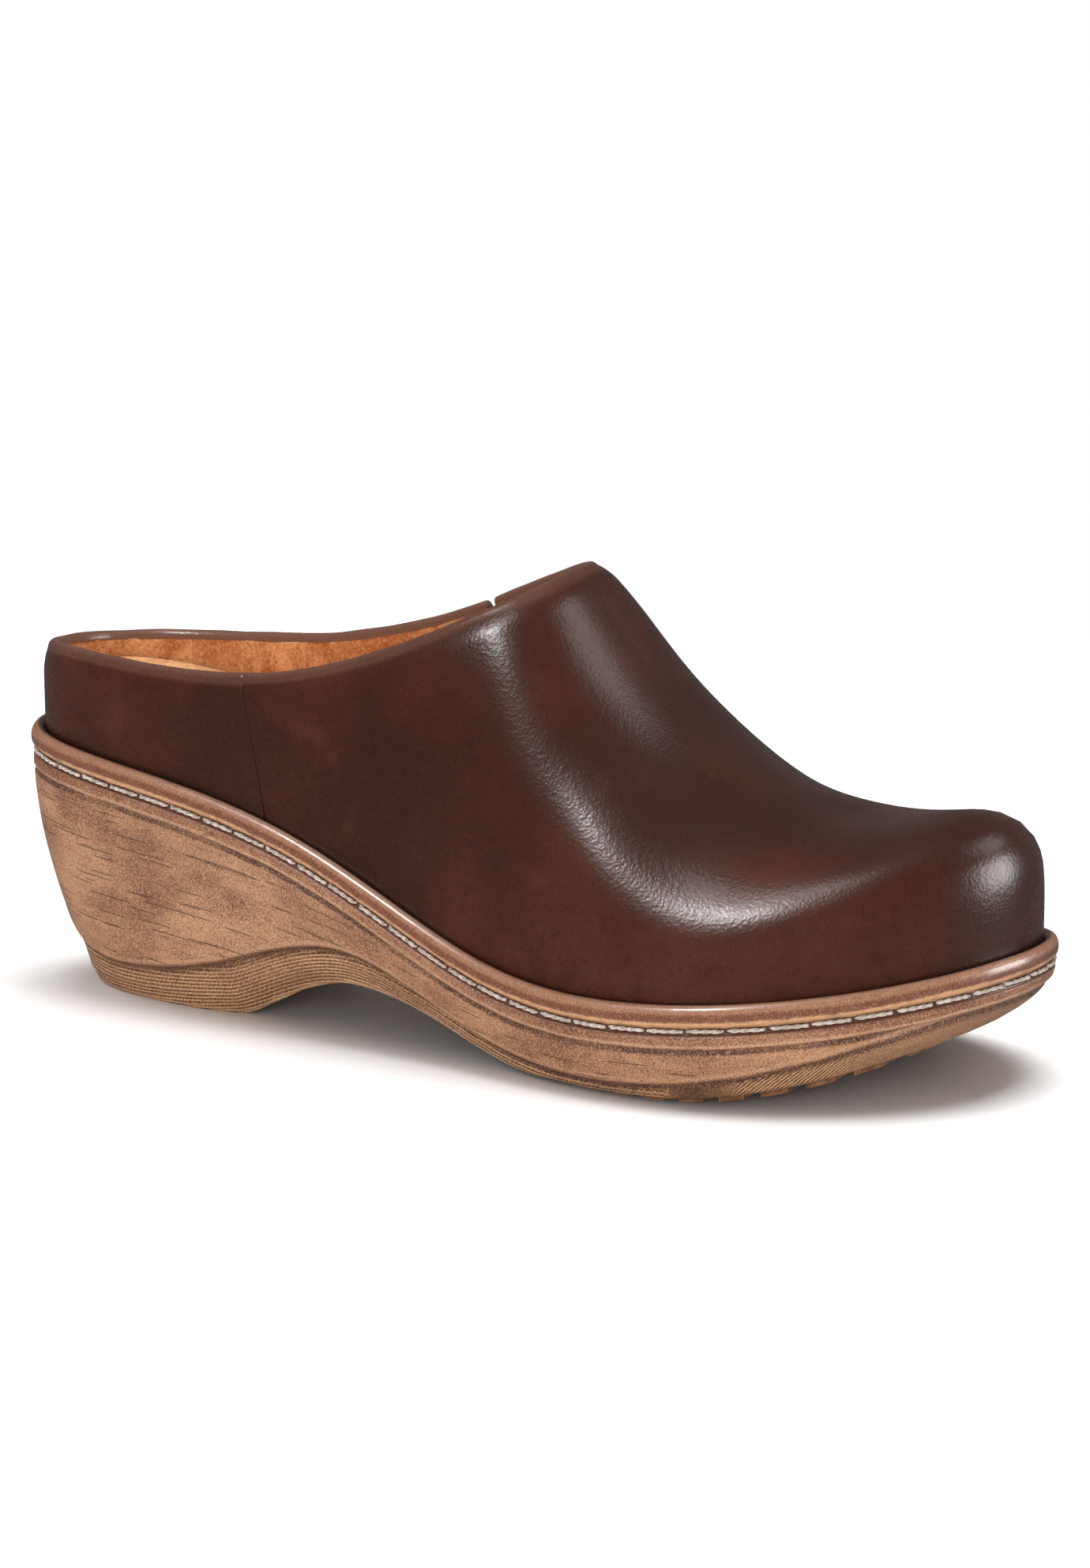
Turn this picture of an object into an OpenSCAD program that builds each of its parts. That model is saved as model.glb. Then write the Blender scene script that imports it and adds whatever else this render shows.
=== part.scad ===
// Backless clog, right foot: leather upper on a shaped heel-and-forepart sole unit.
// Millimetres. +X points to the toe, +Y to the inner (big-toe) side, +Z up. The ground is Z = 0.
// The origin is on the ground below the middle of the shoe's box.

/* [Sole unit] */
// Height of the hollow under the waist, at its highest
arch_h = 12.3; // [6:0.1:18]
// How fast the tip of the sole curves up from the ground
toe_spring = 4.2; // [2:0.1:6]
// Thickness of the wearing piece under the heel
top_piece_t = 3.5; // [2:0.1:6]
// Length of the flat rest under the heel
heel_rest_len = 72; // [60:1:80]
// Rim of the sole body left around the tread panel
panel_rim = 2.2; // [2:0.1:6]
// Depth of the tread panel's plate
tread_t = 1.9; // [1:0.1:3]
// How far the tread bars stand out below the sole body under the ball of the foot
lug_h = 1.0; // [0.5:0.1:3]
// How much further they stand out towards the toe
toe_lug_h = 0.8; // [0:0.1:2]
// Distance between tread bars
lug_pitch = 9; // [6:0.5:14]
// Width of the channel between two tread bars
lug_gap = 3.5; // [2:0.5:6]

/* [Welt] */
// Top of the rounded welt above the stitch line
bead_h = 6.0; // [4:0.1:8]
// Depth of the channel the stitches lie in
channel_d = 1.1; // [0.6:0.1:2]
// Distance from stitch to stitch
stitch_pitch = 9.5; // [5:0.1:12]
// Visible length of one stitch
stitch_len = 8.5; // [4:0.1:11]
// Thickness of the welt thread
thread_d = 1.2; // [0.8:0.1:2]

/* [Upper] */
// Distance from the sole's edge in to the leather
feather_in = 3.0; // [2:0.1:5]
// Leather thickness
leather_t = 1.8; // [1.2:0.1:2.4]
// Thickness of the stiffeners between leather and lining
inter_t = 0.95; // [0.5:0.05:1.5]
// Suede lining thickness
lining_t = 1.0; // [0.6:0.1:2]
// Thickness of the strip that binds the top edge on the inside
binding_t = 1.2; // [0.8:0.1:2]
// Width of that strip
binding_w = 3.6; // [3:0.2:10]
// Width of the leather turned in under the insole
margin_w = 13; // [8:1:18]
// Width of the slit on the inner side, at the top edge
slit_w = 2.4; // [1:0.2:5]
// Height of the elastic behind the slit
gore_h = 30; // [15:1:40]

/* [Insole and footbed] */
// Insole board thickness
board_t = 2.3; // [1.5:0.1:3]
// Footbed foam thickness
foam_t = 7.3; // [4:0.1:10]
// Footbed cover thickness
cover_t = 1.4; // [0.8:0.1:2]
// Thickness of the soft pad under the heel bone
heel_pad_t = 2.5; // [1:0.1:4]
// Width of the steel shank
shank_w = 13; // [8:1:18]
// Shank thickness
shank_t = 1.5; // [1:0.1:2]

/* [View] */
// Part to draw

/* [Hidden] */

LEATHER = [0.24, 0.13, 0.10];
WOOD = [0.62, 0.45, 0.33];
SUEDE = [0.68, 0.40, 0.23];
BUFF = [0.76, 0.52, 0.36];

// Middle of the plan, so that the box is centred on the origin
MID = [133.65, 1.5];
// Plan of the stitch line, 20 points: heel, outer side, toe (point 10), inner side
PLAN = [[0, 0], [5, -22], [29, -35], [68, -37], [105, -38], [140, -41.5], [172, -49.5],
  [205, -50.5], [234, -38.5], [259, -18], [268.5, 10], [260, 34], [239, 48], [208, 53],
  [176, 49.5], [142, 37], [105, 28], [68, 29], [30, 31], [6, 20]];
NP = 20;
// How far the sole's lower edge is tucked in from the stitch line, at each point of the plan
TUCK = [19, 16, 10, 9, 8, 7, 5, 5, 8, 14, 17, 14, 8, 5, 5, 7, 8, 9, 10, 16];
// Height of the stitch line from heel to toe, in equal steps
STITCH = [58.8, 56.5, 53.5, 49.5, 42.5, 31.5, 21, 17, 17.5, 19.5, 22.5, 27.5];
STITCH_X = [0, 265];
// Where the middle line of the upper lies for each point of the plan
SPINE_X = [36, 36, 36, 69, 105, 140, 173, 203, 226, 241, 247, 241, 226, 203, 173, 140, 105,
  69, 36, 36];
// Side shift, height, roundness and side bulge of the upper along that line
SPAN = [30, 255];
SPINE_Y = [0, -1, -2, -2, -1, 0, 1, 2, 3, 5, 7, 8];
RIDGE = [128, 130, 131, 131.5, 131, 130, 127.8, 123.8, 114.3, 92.2, 77.3, 67.5, 62, 58.4, 62, 65.3];
ROUND = [2.8, 2.8, 2.7, 2.5, 2.4, 2.3, 2.3, 2.3, 2.3, 2.2, 2.2, 1.9, 1.9, 2.8, 4, 4];
BULGE = [0.03, 0.03, 0.03, 0.03, 0.03, 0.03, 0.03, 0.03, 0.04, 0.05, 0.07, 0.08, 0.08, 0.055,
  0.01, 0.03];
// Height of the top edge on the outer side and on the inner side, every 15 mm from the heel
TOP_SPAN = [0, 180];
TOP_OUT = [85.5, 86, 85.6, 84.6, 84.2, 84.6, 86.6, 90.6, 95.8, 103, 109, 116, 123];
TOP_IN = [81, 81.8, 82.5, 83.2, 84.2, 86.5, 90.3, 95, 101.5, 108.8, 115, 121, 128];

// Height above the stitch line of the sole's top, and of the upper's first rounding
seat_z = 1.0;
round_z = 5.0;
// Cement line between layers
glue = 0.12;
// Plan positions of the seams: outer side, and inner side counted back from the toe-first order
seam_out = 3.33;
seam_in = 4.23;
board_z = seat_z + leather_t + 0.1;
foam_z = board_z + board_t + 0.05;
cover_z = foam_z + foam_t + 0.05;
inside_in = feather_in + leather_t + inter_t + lining_t + 2 * glue + 0.2;

// ---- curves ----
function w3(u) = [pow(1 - u, 3) / 6, (3 * u * u * u - 6 * u * u + 4) / 6,
  (-3 * u * u * u + 3 * u * u + 3 * u + 1) / 6, u * u * u / 6];
function d3(u) = [-(1 - u) * (1 - u) / 2, (3 * u * u - 4 * u) / 2,
  (-3 * u * u + 2 * u + 1) / 2, u * u / 2];
function mix4(P, i, w) = w[0] * P[(i + NP - 1) % NP] + w[1] * P[i % NP]
  + w[2] * P[(i + 1) % NP] + w[3] * P[(i + 2) % NP];
// smooth closed curve through the stations of the plan
function ring(P, t) = let(s = t + 2 * NP, i = floor(s)) mix4(P, i, w3(s - i));
function ring_dir(P, t) = let(s = t + 2 * NP, i = floor(s)) mix4(P, i, d3(s - i));
// smooth open curve over an interval
function ends(P) = let(n = len(P)) concat([3 * P[0] - 3 * P[1] + P[2], 2 * P[0] - P[1]], P,
  [2 * P[n - 1] - P[n - 2], 3 * P[n - 1] - 3 * P[n - 2] + P[n - 3]]);
function along(P, x, span) = let(
  E = ends(P),
  n = len(P),
  s = max(-0.1, min(1.1, (x - span[0]) / (span[1] - span[0]))) * (n - 1),
  i = max(-1, min(n - 1, floor(s))),
  w = w3(s - i))
  w[0] * E[i + 1] + w[1] * E[min(n + 3, i + 2)] + w[2] * E[min(n + 3, i + 3)]
  + w[3] * E[min(n + 3, i + 4)];
function ramp(a, b, x) = let(u = max(0, min(1, (x - a) / (b - a)))) u * u * (3 - 2 * u);

// ---- heights ----
function stitch_z(x) = along(STITCH, x, STITCH_X);
function arch_z(x) = let(u = max(0, min(1, (x - heel_rest_len) / 98)))
  arch_h * pow(u, 1.5) * pow(1 - u, 2.5) / 0.0709;
function ground_z(x) = arch_z(x) + toe_spring / 1000 * pow(max(0, x - 196), 2);
function body_z(x) = max(ground_z(x), x < 120 ? top_piece_t : 0)
  + lug_h * ramp(150, 172, x) + toe_lug_h * ramp(194, 218, x);
function panel_d(x) = 0.4 + (tread_t - 0.4) * ramp(146, 160, x);
function top_z(p) = let(k = (p[1] + 32) / 60)
  along(TOP_OUT, p[0], TOP_SPAN) * (1 - k) + along(TOP_IN, p[0], TOP_SPAN) * k;

// ---- plan ----
// point of the stitch line moved inwards
function edge(t, d) = let(p = ring(PLAN, t), v = ring_dir(PLAN, t), l = norm(v))
  [p[0] - v[1] / l * d, p[1] + v[0] / l * d];
function edge_up(t, d, dz) = let(p = edge(t, d)) [p[0], p[1], stitch_z(p[0]) + dz];

// ---- upper surface ----
// rib point: station t, angle a from the sole (0) to the middle line (90), depth d under the skin
function skin(t, a, d) = let(
  o = edge(t, feather_in + d),
  cx = ring(SPINE_X, t),
  cy = along(SPINE_Y, cx, SPAN),
  n = along(ROUND, cx, SPAN),
  b = along(BULGE, cx, SPAN),
  g = pow(cos(a), 2 / n) * (1 + 2.6 * b * sin(a) * cos(a) * cos(a)),
  zo = stitch_z(o[0]) + round_z,
  zt = along(RIDGE, cx, SPAN) - d)
  [cx + (o[0] - cx) * g, cy + (o[1] - cy) * g, zo + (zt - zo) * pow(sin(a), 2 / n)];
function above(t, a, drop) = let(p = skin(t, a, 0)) p[2] > top_z(p) - drop;
function seek(t, drop, lo, hi, k) = k == 0 ? (lo + hi) / 2
  : let(m = (lo + hi) / 2)
    above(t, m, drop) ? seek(t, drop, lo, m, k - 1) : seek(t, drop, m, hi, k - 1);
// angle at which a rib meets the top edge, or a line drop below it
function top_a(t, drop) = ring(SPINE_X, t) > 165 || !above(t, 90, drop) ? 90
  : seek(t, drop, 1, 90, 14);
// station where the top edge crosses the middle line
function apex(drop, lo = 4.3, hi = 6.2, k = 16) = k == 0 ? hi
  : let(m = (lo + hi) / 2)
    above(m, 90, drop) ? apex(drop, m, hi, k - 1) : apex(drop, lo, m, k - 1);

// ---- layers, counted from the skin inwards ----
function side(t) = let(s = (t + 2 * NP) % NP) min(s, NP - s);
function inter(t) = inter_t * max(1 - ramp(4.9, 5.6, side(t)), ramp(7.4, 8.2, side(t)));
function depth(q, t) = q == 0 ? 0 : q == 1 ? leather_t : q == 2 ? leather_t + glue
  : q == 3 ? leather_t + glue + inter(t) : leather_t + 2 * glue + inter(t)
  + (q == 5 ? lining_t : q == 6 ? binding_t : 0);

// one column of points: from the sole (foot = true) or from an angle, up to an angle
function column(t, m, lo, hi, d, foot, zf) = foot
  ? concat([edge_up(t, feather_in + d, zf)], [for (j = [0 : m - 1]) skin(t, hi * j / (m - 1), d)])
  : [for (j = [0 : m]) skin(t, lo + (hi - lo) * j / m, d)];

// ---- solids made of triangles ----
function tri(a, b, c, d) = [[a, b, c], [a, c, d]];
function flat1(L) = [for (a = L) for (b = a) b];

// Open strip: each section is an outer column up, an inner column down, and a turned-in margin
module strip(S, m, margin) {
  K = 2 * m + 2 + (margin ? 2 : 0);
  n = len(S);
  sides = [for (i = [0 : n - 2]) for (k = [0 : K - 1])
    tri(i * K + k, i * K + (k + 1) % K, (i + 1) * K + (k + 1) % K, (i + 1) * K + k)];
  ladder = [for (j = [0 : m - 1]) [j, j + 1, 2 * m - j, 2 * m + 1 - j]];
  cap = margin ? concat(ladder, [[0, 2 * m + 1, 2 * m + 2, 2 * m + 3]]) : ladder;
  first = [for (q = cap) tri(q[3], q[2], q[1], q[0])];
  last = [for (q = cap) let(o = (n - 1) * K) tri(o + q[0], o + q[1], o + q[2], o + q[3])];
  polyhedron(points = flat1(S), faces = flat1(concat(sides, first, last)), convexity = 8);
}
function section(t, m, lo, hi, q1, q2, foot, z1, z2, margin) = let(
  A = column(t, m, lo, hi, depth(q1, t), foot, z1),
  B = column(t, m, lo, hi, depth(q2, t), foot, z2))
  concat(A, [for (j = [m : -1 : 0]) B[j]],
    margin ? [edge_up(t, feather_in + margin_w, seat_z + leather_t),
      edge_up(t, feather_in + margin_w, seat_z + 0.08)] : []);

// Strip between two stations round the heel. drop = [lower edge, upper edge] below the top edge
module back_strip(t0, t1, n, m, q1, q2, drop, foot = false, z1 = 0, z2 = 0, margin = false) {
  strip([for (i = [0 : n]) let(t = t0 + (t1 - t0) * i / n)
    section(t, m, foot ? 0 : top_a(t, drop[0]), top_a(t, drop[1]), q1, q2, foot, z1, z2, margin)],
    m, margin);
}

// Toe-covering shell: TA runs from the outer seam to the toe, TB from the inner seam to the toe.
// The last nc + 1 stations of both lists are closed over the middle line and share their top.
module toe_shell(TA, TB, nc, m, q1, q2, drop, z1, z2, margin, slit = 0) {
  na = len(TA) - 1;
  nb = len(TB) - 1;
  T = concat(TA, [for (i = [nb - 1 : -1 : 0]) NP - TB[i]]);
  n = len(T);
  M = m + 1;
  hi = [for (i = [0 : n - 1]) abs(i - na) <= nc ? 90 : top_a(T[i], drop)];
  open_j = floor(m * 0.55);
  function sl(i, j) = i == n - 1 ? -slit * max(0, j - open_j) / (m - open_j) : 0;
  function col(i, q, z) = [for (j = [0 : m]) let(t = T[i] + sl(i, j), d = depth(q, t))
    j == 0 ? edge_up(t, feather_in + d, z) : skin(t, hi[i] * (j - 1) / (m - 1), d)];
  outer = flat1([for (i = [0 : n - 1]) col(i, q1, z1)]);
  inner = flat1([for (i = [0 : n - 1]) col(i, q2, z2)]);
  fl = margin ? flat1([for (t = T) [edge_up(t, feather_in + margin_w, seat_z + leather_t),
    edge_up(t, feather_in + margin_w, seat_z + 0.08)]]) : [];
  function own(i, j) = j == m && i > na && i <= na + nc ? 2 * na - i : i;
  function a(i, j) = own(i, j) * M + j;
  function b(i, j) = n * M + own(i, j) * M + j;
  function f(i, k) = 2 * n * M + 2 * i + k;
  skins = [for (i = [0 : n - 2]) for (j = [0 : m - 1]) concat(
    tri(a(i, j), a(i, j + 1), a(i + 1, j + 1), a(i + 1, j)),
    tri(b(i, j), b(i + 1, j), b(i + 1, j + 1), b(i, j + 1)))];
  rim = [for (i = [0 : n - 2]) if (i < na - nc || i >= na + nc)
    tri(a(i, m), b(i, m), b(i + 1, m), a(i + 1, m))];
  foot = [for (i = [0 : n - 2]) margin
    ? concat(tri(b(i, 0), f(i, 0), f(i + 1, 0), b(i + 1, 0)),
        tri(f(i, 0), f(i, 1), f(i + 1, 1), f(i + 1, 0)),
        tri(f(i, 1), a(i, 0), a(i + 1, 0), f(i + 1, 1)))
    : tri(b(i, 0), a(i, 0), a(i + 1, 0), b(i + 1, 0))];
  e = n - 1;
  first = concat([for (j = [0 : m - 1]) tri(b(0, j), b(0, j + 1), a(0, j + 1), a(0, j))],
    margin ? [tri(f(0, 1), f(0, 0), b(0, 0), a(0, 0))] : []);
  last = concat([for (j = [0 : m - 1]) tri(a(e, j), a(e, j + 1), b(e, j + 1), b(e, j))],
    margin ? [tri(a(e, 0), b(e, 0), f(e, 0), f(e, 1))] : []);
  polyhedron(points = concat(outer, inner, fl),
    faces = flat1(concat(skins, rim, foot, first, last)), convexity = 8);
}
// stations from a seam to the throat, closing up towards it, then on to the toe
function to_toe(t0, ta, n1, n2) = concat(
  [for (i = [0 : n1 - 1]) t0 + (ta - t0) * (1 - pow(1 - i / n1, 1.7))],
  [for (i = [0 : n2]) ta + (10 - ta) * i / n2]);

// Closed ring with the same section all round the stitch line: points [in, up]
module ring_solid(S, n) {
  K = len(S);
  P = [for (i = [0 : n - 1]) for (s = S) edge_up(NP * i / n, s[0], s[1])];
  F = [for (i = [0 : n - 1]) for (k = [0 : K - 1]) let(j = (i + 1) % n, l = (k + 1) % K)
    tri(i * K + k, i * K + l, j * K + l, j * K + k)];
  polyhedron(points = P, faces = flat1(F), convexity = 8);
}

// Flat-sided solids: an outline seen from above, and a band seen from the side
module plan_solid(pts) linear_extrude(height = 140) polygon(pts);
function plan_pts(d, n = 120) = [for (i = [0 : n - 1]) edge(NP * i / n, d)];
module side_solid(low, high) rotate([90, 0, 0]) linear_extrude(height = 130, center = true)
  polygon(concat(low, [for (i = [len(high) - 1 : -1 : 0]) high[i]]));
function xs(a, b, n) = [for (i = [0 : n]) a + (b - a) * i / n];
function seat_line(a, b, dz, n = 44) = [for (x = xs(a, b, n)) [x, stitch_z(x) + dz]];
function floor_line(a, b, dz, n = 30) = [for (x = xs(a, b, n)) [x, ground_z(x) + dz]];
function body_line(a, b, dz, n = 30) = [for (x = xs(a, b, n)) [x, body_z(x) + dz]];
module layer(d, x0, x1, z0, z1) intersection() {
  plan_solid(plan_pts(d));
  side_solid(seat_line(x0, x1, z0), seat_line(x0, x1, z1));
}
module place() translate([-MID[0], -MID[1], 0]) children();

// ---- sole ----
// side wall point: l from 0 at the ledge under the welt to 1 at the lower edge
function wall(t, l) = let(
  o = ring(PLAN, t),
  tuck = ring(TUCK, t),
  low = edge(t, tuck),
  z0 = stitch_z(o[0]),
  za = z0 - 1.2,
  zg = ground_z(low[0]),
  z = za + (body_z(low[0]) - za) * l,
  k = (z0 - z) / (z0 - zg),
  p = edge(t, tuck * k * k))
  [p[0], p[1], z];
function drop_in(t, d, dz) = let(p = edge(t, ring(TUCK, t) + d)) [p[0], p[1], body_z(p[0]) + dz];

// One-piece moulded body: heel block, waist and forepart
module sole_unit() color(WOOD) place() {
  n = 100;
  r = 9;
  S = [for (i = [0 : n - 1]) let(t = NP * i / n) concat(
    [edge_up(t, feather_in + 0.1, seat_z), edge_up(t, feather_in + 0.1, -1.2)],
    [for (k = [0 : r]) wall(t, k / r)],
    [let(w = wall(t, 1), p = edge(t, ring(TUCK, t) + panel_rim)) [p[0], p[1], w[2]],
      let(w = wall(t, 1), p = edge(t, ring(TUCK, t) + panel_rim))
      [p[0], p[1], w[2] + panel_d(p[0])]])];
  K = r + 5;
  sides = [for (i = [0 : n - 1]) let(j = (i + 1) % n) for (k = [0 : K - 2])
    tri(i * K + k, j * K + k, j * K + k + 1, i * K + k + 1)];
  h = n / 2;
  top = flat1([for (i = [0 : h - 1]) ladder_quad(i, n, K, 0)]);
  under = flat1([for (i = [0 : h - 1]) ladder_quad(i, n, K, K - 1)]);
  polyhedron(points = flat1(S), convexity = 8,
    faces = concat(flat1(sides), top, [for (q = under) [q[2], q[1], q[0]]]));
}
// rungs between the outer side (i) and the inner side (n - i)
function ladder_quad(i, n, K, k) = let(
  a = i * K + k, b = (i + 1) * K + k, c = (n - i - 1) * K + k, d = ((n - i) % n) * K + k)
  i == 0 ? [[a, c, b]] : i == n / 2 - 1 ? [[a, d, b]] : [[a, d, c], [a, c, b]];

// Tread plate with cross bars, let into the forepart
module forepart_outsole() color([0.30, 0.19, 0.14]) place() difference() {
  intersection() {
    plan_solid([for (i = [0 : 119]) let(t = NP * i / 120) edge(t, ring(TUCK, t) + panel_rim + 0.1)]);
    side_solid(floor_line(172, 246, 0), body_line(172, 246, tread_t - 0.1));
  }
  intersection() {
    union() {
      for (i = [0 : 7]) translate([176 + lug_pitch * i, 2, -1]) rotate([0, 0, 6])
        cube([lug_gap, 130, 60], center = true);
      translate([165, 2.5, -20]) cube([90, 4, 60]);
    }
    side_solid(floor_line(160, 258, -20), body_line(160, 258, 0.2));
  }
}

// Wearing piece under the heel, with its front edge following the hollow of the waist
module heel_top_piece() color([0.42, 0.30, 0.22]) place() intersection() {
  plan_solid([for (i = [-28 : 28]) edge(i / 8, ring(TUCK, i / 8) + 0.1)]);
  side_solid([[-5, 0], [heel_rest_len, 0], [76, arch_z(76)], [79, arch_z(79)]],
    [[-5, top_piece_t - 0.02], [76, top_piece_t - 0.02], [81, top_piece_t - 0.02]]);
}

// Rounded bead between sole and upper, with the stitch channel below it
module welt() color([0.66, 0.48, 0.37]) place() ring_solid([[feather_in - 0.06, -1.15],
  [channel_d, -1.15], [channel_d, 0.9], [-0.1, 1.3], [-0.45, 2.8], [-0.2, bead_h - 1.6],
  [0.8, bead_h - 0.3], [1.9, bead_h - 0.1], [feather_in - 0.1, round_z + 0.1]], 100);

// Thread lying in the channel, one straight piece for each stitch
function thread_path(n) = [for (i = [0 : n]) edge_up(NP * i / n, 0.15, -0.1)];
function sums(P) = [for (i = 0, s = 0; i < len(P);
  s = s + (i + 1 < len(P) ? norm(P[i + 1] - P[i]) : 0), i = i + 1) s];
module stitch(a, b) {
  v = b - a;
  translate(a) rotate([0, acos(v[2] / norm(v)), atan2(v[1], v[0])])
    cylinder(h = norm(v), d = thread_d, $fn = 24);
}
module welt_stitches() {
  n = 400;
  R = sums(thread_path(n));
  count = round(R[n] / stitch_pitch);
  T = [for (i = [0 : n]) [R[i], NP * i / n]];
  color([0.86, 0.82, 0.76]) place() for (k = [0 : count - 1]) {
    s = R[n] / count * (k + 0.5);
    stitch(edge_up(lookup(s - stitch_len / 2, T), 0.15, -0.1),
      edge_up(lookup(s + stitch_len / 2, T), 0.15, -0.1));
  }
}

// ---- inside the sole ----
// Steel strip that stiffens the waist
module shank() color([0.62, 0.63, 0.65]) place()
  intersection() {
    translate([38, -1 - shank_w / 2, 0]) cube([112, shank_w, 120]);
    side_solid(seat_line(38, 150, seat_z + 0.15), seat_line(38, 150, seat_z + 0.15 + shank_t));
  }

// Cork sheet that levels the forepart between the turned-in edges
module forepart_filler() color([0.72, 0.56, 0.38]) place()
  layer(feather_in + margin_w + 0.6, 152, 244, seat_z + 0.15, seat_z + leather_t - 0.05);

// Stiff board the upper is lasted round
module insole_board() color([0.55, 0.50, 0.42]) place()
  layer(inside_in, 2, 262, board_z, board_z + board_t);

// Soft pad under the heel bone
module heel_spot(r, dz) intersection() {
  translate([38, 0, 0]) union() {
    cylinder(h = 120, r = r, $fn = 72);
    translate([0, -r, 0]) cube([16, 2 * r, 120]);
    translate([16, 0, 0]) cylinder(h = 120, r = r, $fn = 72);
  }
  side_solid(seat_line(5, 90, foam_z - 0.5 + (dz > 0 ? 0 : 0.5)),
    seat_line(5, 90, foam_z + heel_pad_t + dz));
}
module heel_pad() color([0.35, 0.45, 0.60]) place() heel_spot(17, 0);

// Foam that carries the foot, cut out below for the heel pad
module footbed_foam() color([0.80, 0.74, 0.62]) place() difference() {
  layer(inside_in + 0.2, 2, 262, foam_z, foam_z + foam_t);
  heel_spot(17.1, 0.05);
}

// Suede sheet on top of the foam
module footbed_cover() color(BUFF) place()
  layer(inside_in + 0.2, 2, 262, cover_z, cover_z + cover_t);

// ---- upper ----
// Front of the upper in one piece, from the outer seam round the toe to the slit
module vamp() color(LEATHER) place() {
  ta = apex(0);
  toe_shell(to_toe(seam_out + 0.004, ta, 14, 20), to_toe(seam_in + 0.02, ta, 10, 20), 20, 11,
    0, 1, 0, seat_z + 0.08, seat_z + leather_t, true, slit_w / 37);
}

// Low band round the heel, up to the seam and to the slit
module back_quarter() color(LEATHER) place()
  back_strip(-seam_in, seam_out, 32, 7, 0, 1, [0, 0], true, seat_z + 0.08,
    seat_z + leather_t, true);

// Stiffener that holds the heel's shape
module heel_counter() color([0.80, 0.76, 0.68]) place()
  back_strip(-2.9, 2.7, 24, 4, 2, 3, [0, binding_w + 2.2], true, board_z, board_z);

// Stiffener that holds the toe's shape, thinned towards its back edge
module toe_puff() color([0.80, 0.76, 0.68]) place() {
  T = [for (i = [0 : 9]) 7.75 + 2.25 * i / 9];
  toe_shell(T, T, 9, 8, 2, 3, 0, board_z, board_z, false);
}

// Thin padding in the top edge
module collar_foam() color([0.85, 0.80, 0.55]) place()
  back_strip(-3.75, 3.15, 28, 2, 2, 3, [binding_w + 1.8, 0.3]);

// Tapes behind the two seams
module lateral_seam_tape() color([0.20, 0.16, 0.14]) place()
  back_strip(3.2, 3.47, 2, 6, 2, 3, [0, binding_w + 2.8], true, board_z, board_z);
module medial_seam_tape() color([0.20, 0.16, 0.14]) place()
  back_strip(-4.37, -4.09, 2, 5, 2, 3, [0, gore_h + 6], true, board_z, board_z);

// Elastic behind the slit
module gore_elastic() color([0.16, 0.11, 0.09]) place()
  back_strip(-4.56, -3.93, 6, 5, 2, 3, [gore_h + 4, 2]);

// Suede linings, front and back
module vamp_lining() color(SUEDE) place() {
  ta = apex(binding_w + 0.1);
  toe_shell(to_toe(seam_out + 0.004, ta, 11, 18), to_toe(seam_in + 0.004, ta, 8, 18), 18, 9,
    4, 5, binding_w + 0.1, board_z, board_z, false);
}
module quarter_lining() color(SUEDE) place()
  back_strip(-seam_in, seam_out, 32, 5, 4, 5, [0, binding_w + 0.1], true, board_z, board_z);

// Leather strip turned in along the top edge: round the heel, and on both sides of the throat
module topline_binding() color(LEATHER) place()
  back_strip(-seam_in, seam_out, 32, 2, 4, 6, [binding_w, 0]);
module throat_binding() color(LEATHER) place() {
  ta = apex(0) - 0.02;
  back_strip(seam_out + 0.004, ta, 14, 2, 4, 6, [binding_w, 0]);
  back_strip(-ta, -seam_in - 0.07, 12, 2, 4, 6, [binding_w, 0]);
}

// ---- assembly ----
sole_unit();
forepart_outsole();
heel_top_piece();
welt();
welt_stitches();
shank();
forepart_filler();
insole_board();
heel_pad();
footbed_foam();
footbed_cover();
vamp();
back_quarter();
heel_counter();
toe_puff();
collar_foam();
lateral_seam_tape();
medial_seam_tape();
gore_elastic();
vamp_lining();
quarter_lining();
topline_binding();
throat_binding();
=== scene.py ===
"""Backless clog: leather upper on a moulded sole with a wood-like finish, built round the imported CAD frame."""

import math

import bmesh
import bpy
import numpy as np
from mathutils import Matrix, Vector
from mathutils.bvhtree import BVHTree


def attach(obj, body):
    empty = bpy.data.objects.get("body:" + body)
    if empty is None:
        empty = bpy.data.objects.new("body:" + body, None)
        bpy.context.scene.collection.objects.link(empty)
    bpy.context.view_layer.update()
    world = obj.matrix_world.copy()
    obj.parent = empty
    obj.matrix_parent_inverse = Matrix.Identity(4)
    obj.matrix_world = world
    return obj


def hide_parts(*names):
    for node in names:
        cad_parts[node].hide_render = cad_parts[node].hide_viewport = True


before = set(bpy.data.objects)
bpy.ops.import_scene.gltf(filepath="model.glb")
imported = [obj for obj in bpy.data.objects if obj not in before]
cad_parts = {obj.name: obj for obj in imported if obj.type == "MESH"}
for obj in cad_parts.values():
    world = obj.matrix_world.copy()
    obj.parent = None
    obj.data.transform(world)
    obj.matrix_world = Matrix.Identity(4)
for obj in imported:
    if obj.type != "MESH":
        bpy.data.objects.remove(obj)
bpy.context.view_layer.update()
SCENE = bpy.context.scene
RNG = np.random.default_rng(7)

# ---------------------------------------------------------------- camera
CAM_AZ, CAM_EL = math.radians(30.58), math.radians(12.88)
CAM_DIST = 1.130
FOCAL_PX, IMAGE_W, IMAGE_H = 6032.0, 1380, 1986
SENSOR = 24.0
AIM = Vector((-0.00115, -0.0015, 0.040))      # this point shows at AIM_PX
AIM_PX = (648.4, 1088.2)


def add_object(name, data):
    ob = bpy.data.objects.new(name, data)
    SCENE.collection.objects.link(ob)
    return ob


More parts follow.
